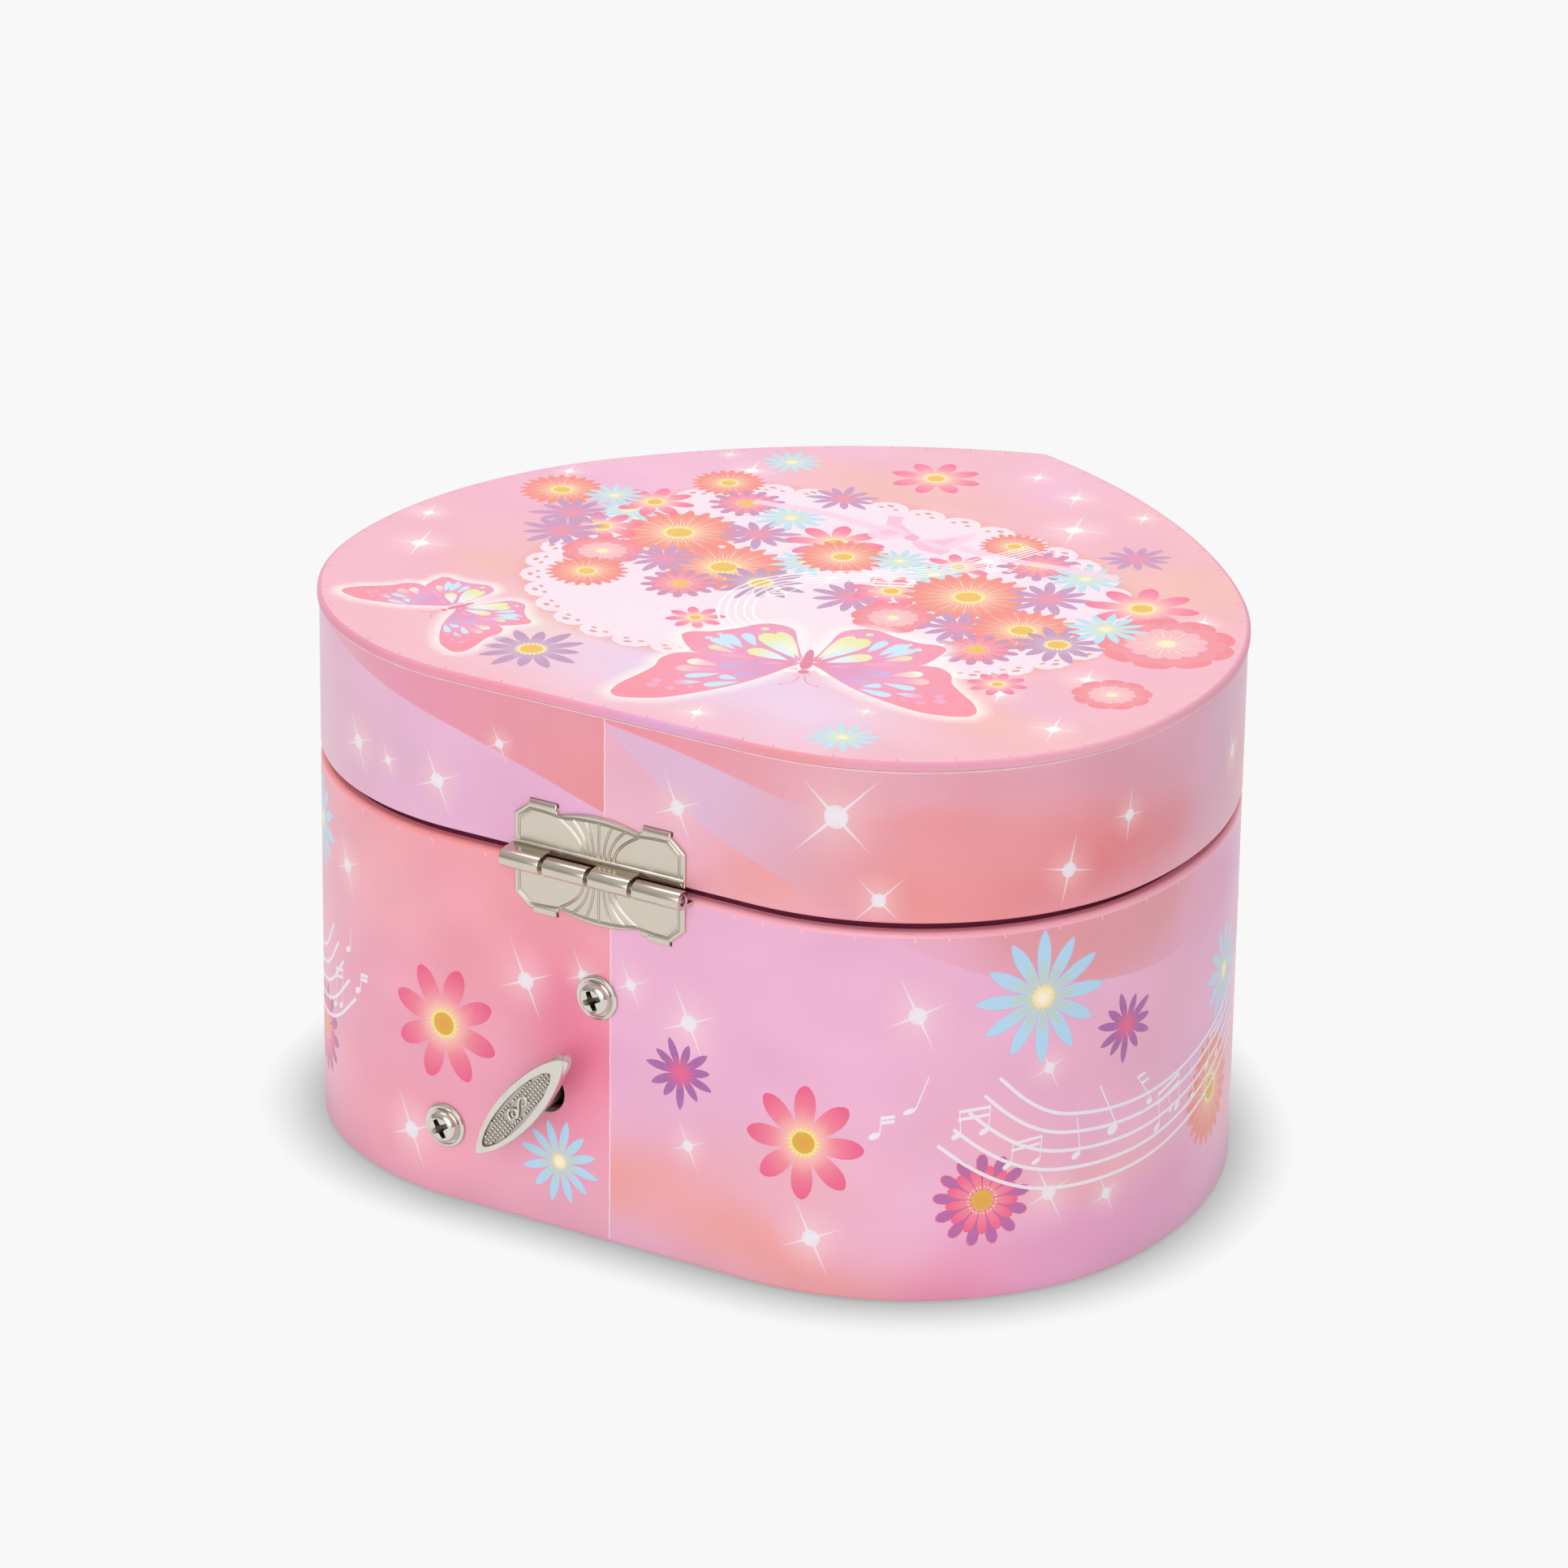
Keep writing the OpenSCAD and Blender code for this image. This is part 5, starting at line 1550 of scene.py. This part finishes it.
def hinge_leaf(up, tabs, knuckles):
    """A stamped leaf with its rolled knuckles. up is +1 on the lid and -1 on the case."""
    bm = bmesh.new()

    def place(x, h, out):
        return Vector((x, WALL_Y + LEAF_T + out, HINGE_Z + up * h))
    relief_plate(bm, leaf_outline(), leaf_lines(), LEAF_T - 0.02, place, groove=0.07, width=0.27,
                 domed=lambda p: -0.12 + 0.1 * math.exp(-((p.x + 0.3) / 5.0) ** 2 - ((p.y - 5) / 3.0) ** 2))
    if up > 0:
        lip = [(-0.4, 1.7), (-0.02, 1.7), (0.12, 1.85), (0.16, 2.05), (0.1, 2.3), (-0.1, 2.42), (-0.4, 2.42)]
        prism(bm, lip, -16.25, 15.75, lambda x, out, h: place(x, h, out), 0.1)
    for a, b in tabs:
        section = [(0.0, 8.6), (-0.02, 9.2), (-0.2, 9.6), (-0.55, 9.74), (-3.2, 9.74), (-3.2, 9.16),
                   (-0.75, 9.16), (-0.68, 8.6)]
        prism(bm, section, a, b, lambda x, out, h: place(x, h, out), 0.12)
    for a, b in knuckles:
        rolled_knuckle(bm, a, b, up)
    return bm


def rolled_knuckle(bm, a, b, up):
    """One knuckle: a barrel with soft ends and the strap that rolls into it from the leaf."""
    along = Matrix(((0, 0, 1), (0, 1, 0), (-1, 0, 0))).to_4x4()
    place = Matrix.Translation(Vector((a, PIN_Y, HINGE_Z))) @ along
    length, bore, soft = b - a, 0.8, 0.16
    lathe(bm, [(bore, 0.5), (bore, 0.05), (bore + 0.08, 0), (BARREL_R - soft, 0), (BARREL_R - 0.04, 0.05),
               (BARREL_R, soft), (BARREL_R, length - soft), (BARREL_R - 0.04, length - 0.05),
               (BARREL_R - soft, length), (bore + 0.08, length), (bore, length - 0.05), (bore, length - 0.5)],
          place, 40)
    strap = [(0.02, 1.0), (0.02, 1.78), (0.5, 1.77), (0.8, 1.73), (1.1, 1.68), (1.6, 1.64), (2.3, 1.63),
             (3.0, 1.6), (3.0, 0.9), (2.2, 0.95), (1.2, 0.98), (0.6, 1.05)]
    prism(bm, strap, a + 0.02, b - 0.02, lambda x, y, z: Vector((x, WALL_Y + y, HINGE_Z + up * z)), 0.1)


def build_hinge():
    nickel = MATERIALS["nickel_plate"]
    upper = hinge_leaf(1, ((7.85, 12.95), (-13.55, -8.45)), ((8.8, 16.2), (-8.05, -0.6)))
    to_piece("hinge_upper", upper, nickel, "lid", ("hinge_leaf_upper",), 25)
    lower = hinge_leaf(-1, ((7.85, 12.15), (-13.55, -9.45)), ((0.15, 8.0), (-17.6, -8.85)))
    to_piece("hinge_lower", lower, nickel, "case", ("hinge_leaf_lower",), 25)
    bm = bmesh.new()
    along = Matrix(((0, 0, 1), (0, 1, 0), (-1, 0, 0))).to_4x4()
    lathe(bm, [(0, -17.55), (0.35, -17.5), (0.62, -17.32), (0.72, -17.1), (0.74, -16.6), (0.74, 15.6),
               (0.7, 15.85), (0.5, 15.98), (0, 16.02)],
          Matrix.Translation(Vector((0, PIN_Y, HINGE_Z))) @ along, 24)
    to_piece("hinge_pin_peened", bm, MATERIALS["spring_steel"], "case", ("hinge_pin",))


def cross_cutter(place, size=1.75, depth=1.5):
    """The tapered cross of a screw recess, as an object to cut with."""
    bm = bmesh.new()
    loops = []
    for share, h in ((1.25, -0.5), (1.0, 0.0), (0.72, depth * 0.6), (0.4, depth)):
        arm, half = size * share, 0.43 * (0.6 + 0.4 * share)
        corner = half * 1.25
        quarter_points = [(arm, -half), (arm, half), (corner, corner)]
        loop = []
        for k in range(4):
            turn = Matrix.Rotation(k * math.pi / 2, 2)
            loop += [turn @ Vector(p) for p in quarter_points]
        loops.append([place @ Vector((p.x, p.y, -h)) for p in loop])
    loft(bm, loops)
    bmesh.ops.recalc_face_normals(bm, faces=bm.faces)
    mesh = bpy.data.meshes.new("cutter")
    bm.to_mesh(mesh)
    bm.free()
    cutter = bpy.data.objects.new("cutter", mesh)
    bpy.context.scene.collection.objects.link(cutter)
    return cutter


def cut_with(piece_mesh, cutter):
    """piece_mesh with the cutter's shape taken out of it."""
    holder = bpy.data.objects.new("holder", piece_mesh)
    bpy.context.scene.collection.objects.link(holder)
    modifier = holder.modifiers.new("cut", "BOOLEAN")
    modifier.object = cutter
    modifier.solver = "EXACT"
    result = bpy.data.meshes.new_from_object(holder.evaluated_get(bpy.context.evaluated_depsgraph_get()))
    for used in (holder, cutter):
        bpy.data.objects.remove(used)
    return result


def wall_frame(x, z, out=0.0, turn=0.0):
    """Matrix whose z axis points out of the back wall at (x, z)."""
    facing = Matrix(((-1, 0, 0), (0, 0, 1), (0, 1, 0))).to_4x4()
    return (Matrix.Translation(Vector((x, WALL_Y + out, z))) @ facing
            @ Matrix.Rotation(math.radians(turn), 4, "Z"))


def build_screws():
    """Two washer-head screws with cross recesses, each turned as it was left."""
    bm = bmesh.new()
    soot = bm.verts.layers.float.new("soot")
    for x, z, turn in ((0.2, 42.9, 24), (29.6, 13.0, 32)):
        head = bmesh.new()
        place = wall_frame(x, z)
        lathe(head, [(0, 0), (2.7, 0), (2.75, 0.62), (2.74, 0.9), (2.68, 1.2), (2.5, 1.5), (2.2, 1.74),
                     (1.8, 1.9), (1.2, 1.97), (0.6, 1.99), (0, 1.995)], place, 64)
        mesh = bpy.data.meshes.new("head")
        bmesh.ops.recalc_face_normals(head, faces=head.faces)
        head.to_mesh(mesh)
        head.free()
        cut = cut_with(mesh, cross_cutter(wall_frame(x, z, 1.97, turn)))
        first = len(bm.verts)
        bm.from_mesh(cut)
        bm.verts.ensure_lookup_table()
        # painted shade inside the cross recess
        for v in bm.verts[first:]:
            local = place.inverted() @ v.co
            if math.hypot(local.x, local.y) < 2.0 and 0.1 < local.z < 1.7:
                v[soot] = 0.9
        lathe(bm, [(2.76, 0.02), (3.5, 0.0), (3.72, 0.06), (3.79, 0.2), (3.78, 0.36), (3.68, 0.5),
                   (3.5, 0.58), (3.25, 0.6), (3.02, 0.5), (2.9, 0.46), (2.76, 0.46), (2.76, 0.02)], place, 64)
    to_piece("screws", bm, MATERIALS["screw_nickel"], "case", ("movement_screws",), 28)


def lens(length, width, level, place, shift=0.0, steps=30, ends=0.72):
    """Leaf-shaped loop with rounded ends."""
    loop = []
    for k in range(2 * steps):
        t = k / steps if k < steps else (2 * steps - k) / steps
        x = -math.cos(math.pi * t)
        half = (1 - x * x) ** ends if abs(x) < 1 else 0.0
        y = half if k < steps else -half
        loop.append(place @ Vector((shift + x * length / 2, y * width / 2, level)))
    return loop


def build_key():
    """The wind-up key: a leaf-shaped grip with a broad rim and a sunk field of pips, and its stem."""
    place = wall_frame(10.3, 24.0, 7.78, 51.0)
    bm = bmesh.new()
    soot = bm.verts.layers.float.new("soot")
    rows = loft(bm, [lens(*size, place) for size in (
        (21.0, 3.6, -2.96), (24.0, 5.4, -2.9), (25.6, 6.3, -2.6), (26.4, 6.75, -1.4), (26.6, 6.86, -0.5),
        (26.6, 6.9, -0.3), (26.4, 6.75, -0.1), (26.1, 6.5, -0.01), (25.7, 6.2, 0.0))]
        + [lens(length, width, level, place, -0.8, ends=0.62) for length, width, level in (
            (20.9, 4.75, 0.0), (20.7, 4.6, -0.05), (20.5, 4.5, -0.2), (20.4, 4.4, -0.55))])
    # painted shade on the floor of the sunk field
    for corner in rows[-1] + rows[-2]:
        corner[soot] = 0.4
    for x, y, size in pips():
        first = len(bm.verts)
        lathe(bm, [(0.31 * size, -0.57), (0.29 * size, -0.38), (0.2 * size, -0.2), (0.0, -0.14)],
              place @ Matrix.Translation(Vector((x - 0.8, y, 0))), 8)
        bm.verts.ensure_lookup_table()
        # painted shade round the foot of each pip
        for v in bm.verts[first:first + 8]:
            v[soot] = 0.35
    nose = [Vector((x, 0, 0)) for x in (9.6, 11.4, 12.6, 13.2, 13.45)]
    loft(bm, [[place @ Vector((p.x, r * math.cos(a), -1.5 + 1.42 * min(1.0, r) * math.sin(a)))
               for a in (math.tau * k / 24 for k in range(24))]
              for p, r in zip(nose, (1.9, 1.75, 1.35, 0.85, 0.3))])
    scroll = [(0.3 * t * math.cos(2.2 * t) - 1.9, 0.26 * t * math.sin(2.2 * t) - 0.1)
              for t in (0.4 * i for i in range(1, 13))]
    tail = [(-2.9, -0.5), (-1.8, -0.9), (-0.8, -0.4), (0.3, 0.5), (1.4, 0.8), (2.1, 0.3), (1.5, -0.5),
            (0.4, -0.2)]
    for track, r in ((smooth_line(scroll, 2), 0.2), (smooth_line(tail, 5), 0.22)):
        bead(bm, track, r, -0.34, place)
    lathe(bm, [(0, -2.8), (2.3, -2.8), (2.55, -3.1), (2.6, -3.4), (2.6, -9.8), (2.1, -10.2), (0, -10.2)],
          place, 40)
    to_piece("key", bm, MATERIALS["key_nickel"], "winding_key", ("winding_key",), 30)


def pips():
    """Places and sizes of the key's pips: a close grid inside the sunk field, clear of the scroll."""
    found = []
    for i in range(-14, 15):
        for j in range(-3, 4):
            x, y = i * 0.72, j * 0.72
            edge = 2.2 * max(0.0, 1 - (x / 10.2) ** 2) ** 0.62 - 0.28
            if abs(y) < edge and not (abs(x + 0.4) < 3.0 and abs(y) < 1.5 - 0.25 * abs(x)):
                found.append((x, y, 1.0))
    return found


def bead(bm, track, r, level, place, sides=8):
    """A rounded raised line."""
    loops = []
    for i, p in enumerate(track):
        ahead = track[min(i + 1, len(track) - 1)] - track[max(i - 1, 0)]
        side = Vector((-ahead.y, ahead.x)).normalized()
        slim = r * (0.55 if i in (0, len(track) - 1) else 1.0)
        loops.append([place @ Vector((p.x + side.x * slim * math.cos(a), p.y + side.y * slim * math.cos(a),
                                      level + slim * math.sin(a)))
                      for a in (math.tau * k / sides for k in range(sides))])
    loft(bm, loops)


# ---- inside the case ----


def build_ring_rolls():
    """Three velvet ring rolls, padded, with gathered ends."""
    for number in (1, 2, 3):
        node = f"ring_roll_{number}"
        lo, hi = low(node), high(node)
        middle, half, r = (lo + hi) / 2, (hi.x - lo.x) / 2, (hi.z - lo.z) / 2
        bm = bmesh.new()
        loops = []
        for i in range(49):
            t = -1 + 2 * i / 48
            x = half * math.sin(t * math.pi / 2)
            end = max(0.0, (abs(x) - (half - r)) / r)
            girth = r * math.sqrt(max(0.0004, 1 - end ** 2))
            loop = []
            for k in range(48):
                a = math.tau * k / 48
                pleat = (1 - 0.05 * end ** 2 * (1 + math.cos(14 * a))
                         - 0.012 * (1 + math.sin(x * 0.7 + 3 * a + number)))
                flat_side = 0.96 if abs(math.cos(a)) > 0.9 else 1.0
                loop.append(middle + Vector((x, girth * pleat * flat_side * math.cos(a),
                                             girth * pleat * math.sin(a) * 0.985)))
            loops.append(loop)
        loft(bm, loops)
        roll = to_piece(f"velvet_roll_{number}", bm, MATERIALS["plum_velvet"], "case",
                        (node,), 80)


def build_figure():
    """The turning butterfly: veined wings, a ribbed body and its post."""
    lo, hi = low("butterfly"), high("butterfly")
    centre = (lo + hi) / 2
    root = Vector((centre.x, centre.y, 0))
    base_z = lo.z
    mid_z = base_z + 6.4
    scale = (hi.x - centre.x) / 29.4
    bm = bmesh.new()
    for side in (1, -1):
        for wing, cells in ((FORE_WING, WING_CELLS[9:]), (HIND_WING, WING_CELLS[:9])):
            edge = [p * scale for p in smooth_loop(wing, 3)]
            veins = [smooth_line([Vector((x0, y0)) * scale, Vector((x0 + x, y0 + y)) / 2 * scale,
                           Vector((x, y)) * scale], 3) for x, y, x0, y0, *_ in cells]
            for face in (1, -1):
                relief_plate(bm, edge if turn_of(edge) > 0 else edge[::-1], veins, 0.01,
                             lambda x, y, h, side=side, face=face: root + Vector((
                                 side * x, face * (0.46 + h), mid_z + y)),
                             bevel=0.35, groove=0.16, width=0.4)
    post = Matrix.Translation(Vector((root.x, root.y, base_z)))
    lathe(bm, [(0.82, 0.02), (2.2, 0.02), (2.38, 0.2), (2.38, 1.0), (2.2, 1.18), (1.6, 1.2), (1.15, 1.6),
               (1.0, 3.0), (1.35, 3.8), (1.1, 4.2), (1.4, 5.0), (1.15, 5.5), (1.45, 6.4), (1.2, 6.9),
               (1.48, 7.8), (1.48, 9.4), (1.2, 10.4), (0.8, 10.8), (1.1, 11.3), (1.3, 12.0), (1.2, 12.8),
               (0.8, 13.3), (0.3, 13.45), (0, 13.46)],
          post, 32)
    to_piece("figure_butterfly", bm, MATERIALS["figure_plastic"], "figure",
             ("butterfly",), 40)


build_hinge()
build_screws()
build_key()
build_ring_rolls()
build_figure()
